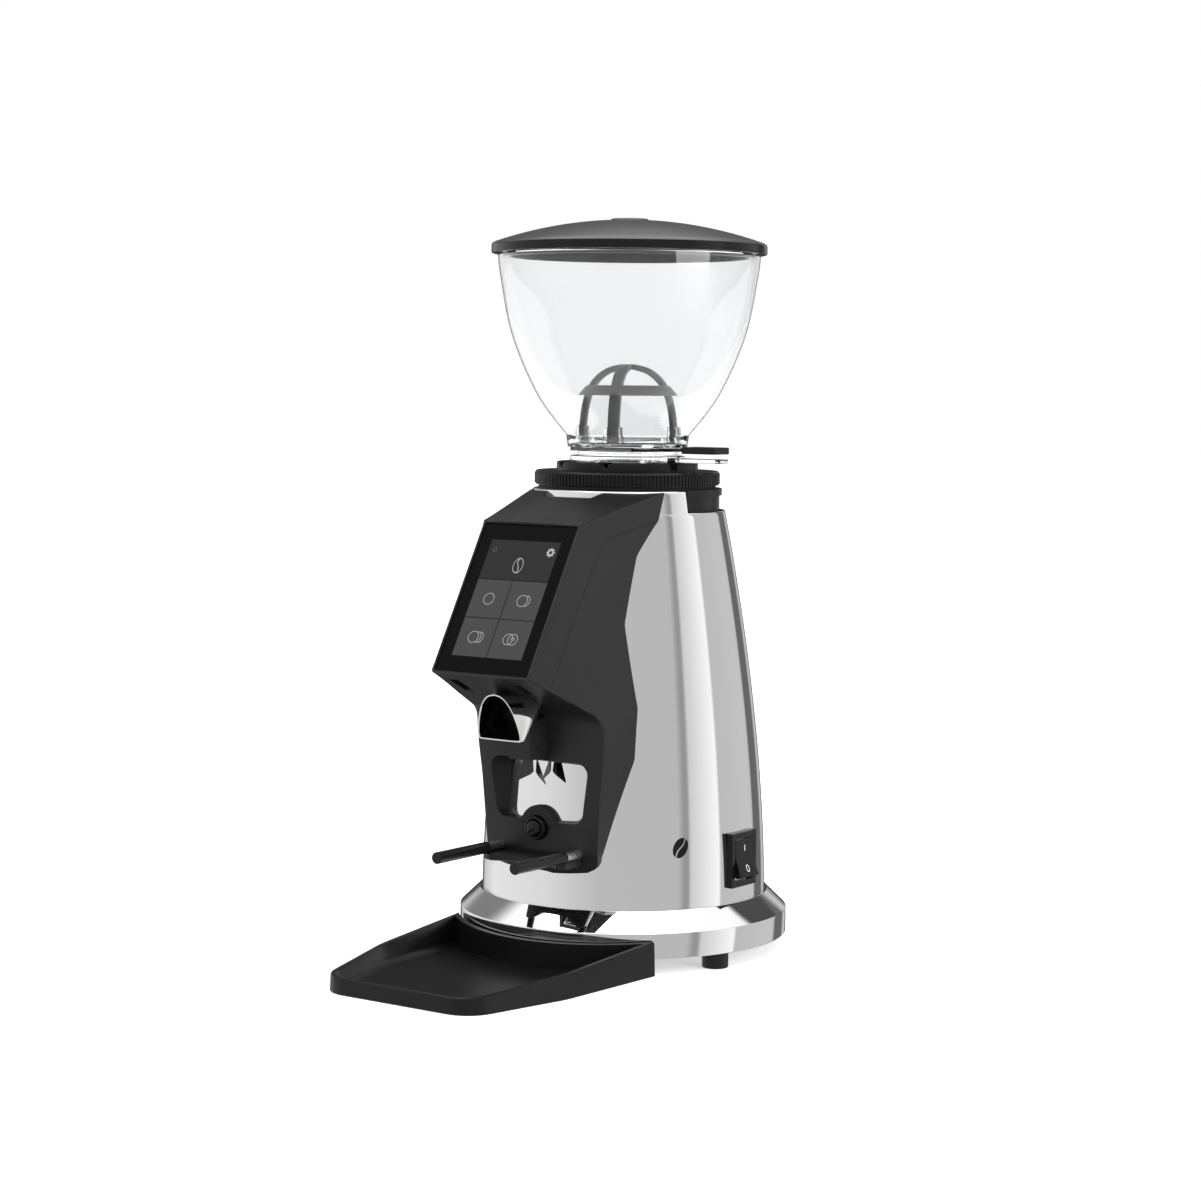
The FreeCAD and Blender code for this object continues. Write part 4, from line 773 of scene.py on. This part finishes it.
def seams():
    """Parting line round the head, on both sides."""
    path = curve_through([(37.0, 257.2), (56.0, 252.6), (68.0, 249.6), (74.0, 247.6),
                          (78.0, 244.6), (80.6, 240.6), (84.0, 234.0), (105.0, 199.5),
                          (125.0, 166.6)], 8)
    points = [side_point(depth, height, 0.06) for depth, height in path]
    for side, hand in ((1, "right"), (-1, "left")):
        ribbon("seam_" + hand, [(side * x, y, z) for x, y, z in points], 0.22, side)


# ---- chute
ARCH = [(0.0, 1.0), (0.34, 0.89), (0.60, 0.60), (0.78, 0.22), (0.90, -0.19),
        (0.975, -0.575), (0.985, -0.90), (0.90, -0.985), (0.50, -1.0), (0.0, -1.0)]


def chute():
    """Polished scoop: an arch on a flat sill at its mouth, round where it leaves the head."""
    stations = [(125.7, 148.1, -12.0, 15.5, 13.9, 1.0), (122.5, 148.2, -9.0, 16.5, 13.9, 0.9),
                (118.5, 148.8, -2.0, 17.3, 13.7, 0.6), (113.5, 150.0, 8.0, 17.4, 13.4, 0.4),
                (108.0, 152.2, 20.0, 16.6, 13.2, 0.3), (100.7, 157.1, 38.0, 14.6, 12.8, 0.2),
                (92.0, 167.0, 52.0, 11.8, 12.2, 0.2), (83.4, 182.0, 66.0, 11.2, 11.6, 0.1)]
    wall, rim = 1.1, 0.35
    arch = curve_through(ARCH, 5)

    def ring(back, up, dip, half_width, half_height, share, inset, shift=0.0):
        right = []
        for step, (across, rise) in enumerate(arch):
            turn = math.pi * step / (len(arch) - 1)
            right.append((share * across + (1 - share) * math.sin(turn),
                          share * rise + (1 - share) * math.cos(turn)))
        loop = right + [(-across, rise) for across, rise in right[-2:0:-1]]
        tilt = math.radians(dip)
        wide, high = half_width - inset, half_height - inset
        return [(across * wide,
                 -back + shift * math.cos(tilt) + rise * high * math.sin(tilt),
                 up + shift * math.sin(tilt) + rise * high * math.cos(tilt))
                for across, rise in loop]

    loops = [ring(*station, 0.0) for station in reversed(stations[1:])]
    loops += [ring(*stations[0], 0.0, rim), ring(*stations[0], rim * 0.5, 0.0),
              ring(*stations[0], wall - rim * 0.5, 0.0), ring(*stations[0], wall, rim)]
    loops += [ring(*station, wall) for station in stations[1:]]
    scoop = skinned("chute_scoop", loops, MATERIALS["chrome_chute"], "base", 40, False)
    # The inside faces take the dark grey metal as painted shade.
    scoop.data.materials.append(CHUTE_INSIDE_SHADE)
    outside_faces = (len(stations) + 2) * len(loops[0])
    for face in list(scoop.data.polygons)[outside_faces:]:
        face.material_index = 1
    stands_for(scoop, "chute")


# ---- clear parts
GUARD_LEGS = (-72.0, 18.0, 108.0)


def hopper():
    """Clear bell with a rolled lip, a flat floor and three sockets for the guard's legs."""
    outer = curve_through([(36.5, 305.5), (54.0, 329.0), (69.2, 364.0), (76.2, 398.0),
                           (77.9, 412.0)], 14)
    wall, mouth, floor = 2.4, 412.0, 298.6
    inner = [(radius - wall * way, height - wall * climb)
             for (radius, height), (way, climb) in zip(outer, outward(outer))]
    lip = inner[-1][0]
    profile = [(35.3, floor), (35.6, floor + 0.4), (36.4, 304.6)] + outer[:-1]
    profile += [(77.85, mouth - 0.5), (77.5, mouth), (lip + 0.4, mouth), (lip, mouth - 0.4)]
    profile += [point for point in reversed(inner[:-1]) if point[1] > outer[0][1]]
    profile += [(33.0, 301.9), (32.0, 301.2), (22.4, 301.2), (22.0, 300.8),
                (22.0, floor + 0.4), (22.4, floor)]
    bell = lathe("hopper_bell", profile, MATERIALS["clear_plastic"], "bean_hopper", 256)
    stands_for(bell, "hopper")
    for number, degrees in enumerate(GUARD_LEGS):
        socket("guard_socket_%d" % number, math.radians(degrees))


def socket(name, turn):
    """Clear hollow box on the hopper's floor, wider at its foot, round one leg."""
    loops = []
    for grow, half, low, high, height in ((1.2, 4.8, 25.7, 31.3, 301.25),
                                          (0.0, 4.8, 25.7, 31.3, 307.5),
                                          (-0.2, 4.8, 25.7, 31.3, 311.2),
                                          (0.0, 3.2, 27.3, 29.7, 311.2),
                                          (0.0, 3.2, 27.3, 29.7, 301.3)):
        wide = half + grow
        loops.append([polar(radius, turn, height, across) for across, radius in
                      ((-wide, low), (wide, low), (wide, high), (-wide, high))])
    skinned(name, loops, MATERIALS["clear_plastic"], "bean_hopper")


def lid():
    """Dished lid: glossy band, shallow dome and a small raised disc."""
    edge, band_top, crown, disc, top = 81.7, 419.0, 432.6, 11.0, 433.3
    band_low, plug_low, thick, run = 412.4, 410.2, 2.2, edge - 1.6
    sphere = (run ** 2 + (crown - band_top) ** 2) / (2 * (crown - band_top))

    def dome(radius, drop=0.0):
        return crown - drop - sphere + math.sqrt(sphere ** 2 - radius ** 2)

    profile = [(0.0, top), (disc - 0.6, top), (disc - 0.1, top - 0.25), (disc + 0.3, dome(disc))]
    profile += [(radius, dome(radius)) for radius in range(14, 80, 3)]
    profile += [(run, band_top), (edge - 0.7, band_top - 0.5), (edge - 0.15, band_top - 1.4),
                (edge, band_top - 2.6), (edge, band_low + 0.8), (edge - 0.4, band_low + 0.1),
                (edge - 0.9, band_low), (78.6, band_low), (78.4, band_low + 0.15),
                (73.3, band_low + 0.15), (73.3, plug_low + 0.5), (72.9, plug_low),
                (71.6, plug_low), (71.1, plug_low + 0.5), (71.1, 418.0)]
    profile += [(radius, dome(radius, thick)) for radius in range(68, 0, -4)]
    profile.append((0.0, crown - thick))
    cover = lathe("lid_dome", profile, MATERIALS["lid_plastic"], "lid", 256, closed=False)
    # Faces below the band's top take gloss black, whose higher gloss is real; the dome's lighter
    # grey over the same plastic is painted light from the ceiling.
    cover.data.materials.append(MATERIALS["gloss_black"])
    for face in cover.data.polygons:
        if face.center.z < (band_top - 1.0) * MM:
            face.material_index = 1
    stands_for(cover, "lid")


# ---- tray
def tray():
    """Shallow tray with soft rims, hollowed to fit round the base ring."""
    plan = ring_of([(-71.6, -68.0), (-67.3, -148.0), (-52.0, -216.0), (52.0, -216.0),
                    (67.3, -148.0), (71.6, -68.0)], [1.0, 60.0, 19.0, 19.0, 60.0, 1.0], 9)
    count = len(plan)
    inward = []
    for index in range(count):
        ahead, back = plan[(index + 1) % count], plan[index - 1]
        along = Vector((ahead[0] - back[0], ahead[1] - back[1])).normalized()
        inward.append((-along.y, along.x))
    low, slope, front = 9.4, 0.0745, 216.0

    def loop(inset, height=None, drop=0.0):
        out = []
        for (x, y), (nx, ny) in zip(plan, inward):
            px, py = x + nx * inset, y + ny * inset
            rim = low + slope * (front + py)
            out.append((px, py, rim - drop if height is None else height))
        return out

    solid = lofted("tray_shell", [loop(0.5, 0.0), loop(0.0, 0.6), loop(0.35, drop=1.3),
                                     loop(0.7, drop=0.4), loop(1.5, drop=0.0)])
    well = lofted("tray_hollow", [loop(12.0, 2.5), loop(9.0, 2.7), loop(6.8, 3.5),
                                     loop(5.2, 5.4), loop(3.5, drop=1.2), loop(2.9, drop=0.4),
                                     loop(2.1, drop=0.0), loop(2.0, drop=-3.0)])
    around = 99.9
    carved(well, drum("tray_hollow_limit", around + 3.2))
    carved(solid, well)
    carved(solid, drum("tray_base_limit", around))
    corners = ((-45.0, -50.0), (-45.0, -101.0), (45.0, -101.0), (45.0, -50.0))
    tongue = lofted("tray_tongue", [[(x, y, z) for x, y in corners] for z in (0.0, 3.2)])
    carved(solid, tongue, "UNION")
    dressed(solid, MATERIALS["tray_plastic"], "tray", 30)
    bevelled(solid, 0.45, 2, 50)
    stands_for(solid, "coffee_tray")


def drum(name, radius, low=-5.0, high=60.0):
    """Upright cylinder on the body's axis, for carving."""
    return lofted(name, [[(x, y, height) for x, y in circle(radius, 200)]
                         for height in (low, high)])


# ---- small parts
def marks():
    """Generic marks: on and off strokes on the rocker, a bean on the body."""
    pivot_x, pivot_y, pivot_z, lean = 83.85, -1.0, 60.0, math.radians(-11.0)
    proud, half, drop = 5.4, 11.2, 2.18

    def on_rocker(across, along):
        x = proud - drop * (1 - abs(along) / half) + 0.05
        return (pivot_x + x * math.cos(lean) + along * math.sin(lean), pivot_y + across,
                pivot_z - x * math.sin(lean) + along * math.cos(lean))

    bar = [on_rocker(a, b) for a, b in ((-0.28, 4.0), (0.28, 4.0), (0.28, 7.6), (-0.28, 7.6))]
    piece("rocker_on", bar, [(0, 1, 2, 3)], MARK_WHITE, "rocker")
    vertices, count = [], 40
    for step in range(count):
        turn = 2 * math.pi * step / count
        for grow in (-0.25, 0.25):
            vertices.append(on_rocker((1.3 + grow) * math.sin(turn),
                                      -6.2 + (1.9 + grow) * math.cos(turn)))
    faces = [(2 * k, 2 * k + 1, (2 * k + 3) % (2 * count), (2 * k + 2) % (2 * count))
             for k in range(count)]
    piece("rocker_off", vertices, faces, MARK_WHITE, "rocker")
    body_bean()


def body_bean():
    """Coffee bean mark on the polished body: two halves beside a wavy crease."""
    around, middle, long, wide, tilt = 58.0, 70.5, 6.2, 4.4, math.radians(-28.0)
    rows, columns, proud = 20, 8, 0.06
    vertices, faces = [], []
    for side in (-1, 1):
        first = len(vertices)
        for row in range(rows + 1):
            y = -1 + 2 * row / rows
            edge = math.sqrt(max(0.0, 1 - y * y))
            crease = 0.16 * math.sin(math.pi * y) + side * 0.09
            for column in range(columns + 1):
                x = crease + (side * edge - crease) * column / columns
                if side * x < side * crease and edge < abs(crease):
                    x = crease
                px, pz = x * wide, y * long
                height = middle + px * math.sin(tilt) + pz * math.cos(tilt)
                radius = shell_radius(height) + proud
                across = px * math.cos(tilt) - pz * math.sin(tilt)
                vertices.append(polar(radius, math.radians(around) + across / radius, height))
        for row in range(rows):
            for column in range(columns):
                k = first + row * (columns + 1) + column
                faces.append((k, k + 1, k + columns + 2, k + columns + 1))
    piece("body_bean", vertices, faces, MATERIALS["gloss_black"], "base")


def block_lines():
    """Rounded joint line on the side of the outlet block, and a flat near-black disc as painted
    shade for its screw pocket.
    """
    path = curve_through([(99.0, 144.0), (95.5, 143.4), (92.4, 140.8), (90.6, 136.6),
                          (90.0, 131.0), (89.8, 122.2)], 8)
    out, pocket_depth, pocket_height, count = 7.66, 96.2, 128.6, 28
    for side, hand in ((1, "right"), (-1, "left")):
        points = [(side * out, -depth, height) for depth, height in path]
        ribbon("block_line_" + hand, points, 0.16, side)
        # Flat near-black disc: painted shade where the screw pocket is.
        disc = [(side * out, y - pocket_depth, pocket_height + z)
                for y, z in circle(1.7, count)]
        piece("block_pocket_painted_shade_" + hand, disc, [tuple(range(count))], SEAM_AND_SHADE, "base")


def across_lathe(name, profile, material, body, closed=True):
    """Profile of (radius, depth) turned about the start button's axis."""
    count = 96
    loops = [[(x, -depth, BUTTON_HEIGHT + z) for x, z in circle(radius, count)]
             for radius, depth in profile]
    return skinned(name, loops, material, body, 40, closed)


def button():
    """Domed black button in a rounded collar."""
    gloss = MATERIALS["gloss_black"]
    collar = [(6.5, 87.5), (6.85, 88.0), (6.85, 89.3), (6.6, 89.9), (6.1, 90.2), (5.6, 90.2),
              (5.2, 89.9), (5.1, 89.4), (5.1, 85.0), (6.5, 85.0)]
    stands_for(across_lathe("button_collar_ring", collar, gloss, "base"), "button_collar")
    dome = [(4.75, 88.0), (4.75, 90.2), (4.6, 90.9), (4.2, 91.5), (3.4, 91.9), (2.2, 92.12),
            (1.0, 92.2), (0.0, 92.2)]
    stands_for(across_lathe("start_button_dome", dome, gloss, "button", False), "start_button")


def ring_collar():
    """Stop collar over the ring, with a V, slots and sloped notches in its upper edge."""
    count = 720
    outer, bore, low, top = 42.1, 36.0, 284.6, 289.9

    def dip(degrees):
        away = [abs((degrees - centre + 180) % 360 - 180)
                for centre in (17, 75, -34, 137, 197, 257)]
        drop = max(0.0, 4.0 * (1 - away[0] / 6.5))
        drop = max([drop] + [4.0 if away[k] < 3.6 else 0.0 for k in (1, 4)])
        return max([drop] + [max(0.0, 3.0 * min(1.0, (5.5 - away[k]) / 2.5)) for k in (2, 3, 5)])

    profile = [(bore, low, 0), (outer, low, 0), (outer, top - 1.0, 1), (outer - 0.3, top - 0.3, 1),
               (outer - 1.0, top, 1), (bore + 0.5, top, 1), (bore, top - 0.5, 1)]
    turns = [360 * step / count for step in range(count)]
    loops = [[polar(radius, math.radians(degrees), height - moves * dip(degrees))
              for degrees in turns] for radius, height, moves in profile]
    collar = skinned("ring_collar_notched", loops, MATERIALS["black_metal"], "ring", 35)
    stands_for(collar, "ring_collar")


def bean_guard():
    """Grey cage: three legs bowing in to an apex and a conical ring."""
    grey = MATERIALS["grey_plastic"]
    path = curve_through([(28.0, 301.5), (28.2, 309.0), (27.2, 319.0), (24.9, 328.5),
                          (20.6, 337.0), (13.4, 343.2), (5.0, 345.9), (0.0, 346.2)], 6)
    half, deep, soft = 3.4, 1.6, 0.5
    flat, thin = half - soft, deep - soft
    section = ((-flat, -deep), (flat, -deep), (half, -thin), (half, thin), (flat, deep),
               (-flat, deep), (-half, thin), (-half, -thin))
    for number, degrees in enumerate(GUARD_LEGS):
        loops = [[polar(radius + lift * way, math.radians(degrees), height + lift * climb,
                        across) for across, lift in section]
                 for (radius, height), (way, climb) in zip(path, outward(path))]
        leg = dressed(lofted("guard_leg_%d" % number, loops), grey, "bean_hopper", 50)
    ring = lathe("bean_guard_ring", [(29.4, 329.4), (29.2, 330.0), (24.9, 335.0), (24.4, 335.2),
                                     (22.6, 335.2), (22.2, 334.9), (26.6, 329.7),
                                     (27.0, 329.4)], grey, "bean_hopper", 128, angle=40)
    stands_for(ring, "bean_guard")


def clip():
    """Two bent wings of spring steel under the outlet block, on a short strip."""
    thick, front, rear, top = 1.1, 94.0, 90.2, 121.9
    corners = [(5.0, front, top), (2.4, rear, top), (1.8, rear, 113.4), (3.6, 90.9, 111.6),
               (11.4, front, 107.4)]
    for side, hand in ((-1, "left"), (1, "right")):
        outer = [(side * x, -depth, z) for x, depth, z in corners]
        inner = [(side * (x - thick), -depth + 0.4, z) for x, depth, z in corners]
        wing = lofted("clip_wing_" + hand, [outer, inner])
        dressed(wing, CLIP_STEEL, "base", 30)
    plate = ((-5.0, -front), (5.0, -front), (5.0, -rear), (-5.0, -rear))
    strip = lofted("clip_strip", [[(x, y, z) for x, y in plate] for z in (top - 1.0, top)])
    stands_for(dressed(strip, CLIP_STEEL, "base"), "portafilter_clip")


def fork_web():
    """Black web under the rods, hollowed between them."""
    plan = ring_of([(-28.6, -83.0), (-29.6, -99.0), (-24.0, -101.0), (-12.0, -95.0),
                    (12.0, -95.0), (24.0, -101.0), (29.6, -99.0), (28.6, -83.0)],
                   [0.5, 1.5, 1.5, 5.0, 5.0, 1.5, 1.5, 0.5], 5)
    loops = [[(point[0] * grow, point[1] * grow, height) for point in plan]
             for grow, height in ((0.985, 60.5), (1.0, 61.2), (1.0, 64.2), (0.985, 64.9))]
    web = lofted("fork_web", loops)
    carved(web, drum("fork_web_limit", 85.2, 35.0, 100.0))
    stands_for(dressed(web, MATERIALS["black_cover"], "base", 40), "fork_plate")


def moulded_copies():
    """The rest of what is seen: CAD shapes with their edges softened."""
    for node, width in (("outlet_block", 0.5), ("fork_rods", 0.7),
                        ("fork_sleeve_left", 0.9), ("fork_sleeve_right", 0.9),
                        ("switch_bezel", 0.6), ("rocker", 0.5),
                        ("hopper_neck", 0.35), ("gate", 0.5), ("burr_housing", 0.4),
                        ("cable_gland", 0.5),
                        ("foot_front_left", 0.9), ("foot_front_right", 0.9),
                        ("foot_rear_left", 0.9), ("foot_rear_right", 0.9)):
        softened(node, width)


# ---- lights
def math_node(tree, operation, first, second=None):
    node = tree.nodes.new("ShaderNodeMath")
    node.operation = operation
    for socket_in, value in zip(node.inputs, (first, second)):
        if isinstance(value, (int, float)):
            socket_in.default_value = value
        elif value is not None:
            tree.links.new(value, socket_in)
    return node.outputs[0]


def mixed(tree, factor, first, grey):
    blend = tree.nodes.new("ShaderNodeMix")
    blend.data_type = "RGBA"
    tree.links.new(factor, blend.inputs["Factor"])
    tree.links.new(first, blend.inputs["A"])
    blend.inputs["B"].default_value = (grey, grey, grey, 1)
    return blend.outputs["Result"]


def bands(tree, x, y):
    """Brightness by the compass angle in degrees, 0 being straight ahead of the front."""
    levels = [(-180, 0.15), (-174, 0.15), (-168, 0.62), (-166, 0.62), (-156, 0.08),
              (-130, 0.07), (-122, 0.60), (-95, 0.90), (-60, 0.86), (-30, 0.80), (-4, 0.66),
              (16, 0.56), (80, 0.55), (85.5, 0.34), (89, 0.36), (91, 0.70), (119, 1.10),
              (121, 0.58), (160, 0.63), (167, 0.60), (170, 0.15), (180, 0.15)]
    turn = math_node(tree, "ARCTAN2", x, math_node(tree, "MULTIPLY", y, -1.0))
    ramp = tree.nodes.new("ShaderNodeValToRGB")
    while len(ramp.color_ramp.elements) < len(levels):
        ramp.color_ramp.elements.new(0.5)
    for element, (angle, value) in zip(ramp.color_ramp.elements, levels):
        element.position = (angle + 180) / 360
        element.color = (value, value, value, 1)
    tree.links.new(mapped(tree, turn, -math.pi, math.pi), ramp.inputs["Fac"])
    return ramp.outputs["Color"]


def world():
    """White studio: upright bands round the horizon for the metal to mirror, a bright
    ceiling, two dark panels, and plain white where the lens sees it."""
    ceiling = 1.15
    sky = bpy.data.worlds.new("studio")
    bpy.context.scene.world = sky
    sky.use_nodes = True
    tree = sky.node_tree
    tree.nodes.clear()
    place = tree.nodes.new("ShaderNodeTexCoord")
    split = tree.nodes.new("ShaderNodeSeparateXYZ")
    tree.links.new(place.outputs["Generated"], split.inputs["Vector"])
    x, y, z = split.outputs
    colour = mixed(tree, mapped(tree, z, 0.42, 0.72, smooth=True), bands(tree, x, y), ceiling)
    for way, far, near, grey in (((0.06, 0.84, 0.56), 0.950, 0.975, 0.08),
                                 ((-0.82, 0.30, 0.50), 0.90, 0.985, 0.24)):
        way = Vector(way).normalized()
        level = math_node(tree, "ADD", math_node(tree, "MULTIPLY", x, way.x),
                          math_node(tree, "MULTIPLY", y, way.y))
        facing = math_node(tree, "ADD", level, math_node(tree, "MULTIPLY", z, way.z))
        colour = mixed(tree, mapped(tree, facing, far, near, smooth=True), colour, grey)
    banded, plain = (tree.nodes.new("ShaderNodeBackground") for each in range(2))
    tree.links.new(colour, banded.inputs["Color"])
    plain.inputs["Color"].default_value = (1, 1, 1, 1)
    path = tree.nodes.new("ShaderNodeLightPath")
    mix = tree.nodes.new("ShaderNodeMixShader")
    seen = math_node(tree, "MAXIMUM", path.outputs["Is Camera Ray"],
                     path.outputs["Is Transmission Ray"])
    tree.links.new(seen, mix.inputs["Fac"])
    tree.links.new(banded.outputs[0], mix.inputs[1])
    tree.links.new(plain.outputs[0], mix.inputs[2])
    out = tree.nodes.new("ShaderNodeOutputWorld")
    tree.links.new(mix.outputs[0], out.inputs["Surface"])


def softbox(name, place, aim, wide, tall, power):
    panel = bpy.data.lights.new(name, "AREA")
    panel.shape, panel.size, panel.size_y, panel.energy = "RECTANGLE", wide, tall, power
    item = bpy.data.objects.new(name, panel)
    item.location = place
    item.rotation_euler = (Vector(aim) - Vector(place)).to_track_quat("-Z", "Y").to_euler()
    bpy.context.scene.collection.objects.link(item)
    return item


def lights():
    softbox("overhead", (0.1, -0.3, 1.9), (0, 0, 0.0), 2.4, 2.4, 22.0)
    side = softbox("right_side", (1.9, 0.1, 0.6), (0, 0, 0.2), 1.2, 1.2, 34.0)
    side.visible_glossy = False
    bpy.context.scene.view_settings.view_transform = "Standard"


def floor():
    made, _, shader = nodes_of("pale_floor")
    shader.inputs["Base Color"].default_value = (0.93, 0.93, 0.93, 1)
    shader.inputs["Roughness"].default_value = 0.6
    shader.inputs["Emission Color"].default_value = (1, 1, 1, 1)
    shader.inputs["Emission Strength"].default_value = 0.45
    half = 9000.0
    item = piece("floor", [(-half, -half, 0), (half, -half, 0), (half, half, 0),
                           (-half, half, 0)], [(0, 1, 2, 3)], made, None)
    item.visible_glossy = False


body_shell()
base_ring()
front_cover()
screen()
grind_ring()
seams()
chute()
hopper()
lid()
tray()
marks()
block_lines()
button()
ring_collar()
bean_guard()
clip()
fork_web()
moulded_copies()
world()
lights()
floor()
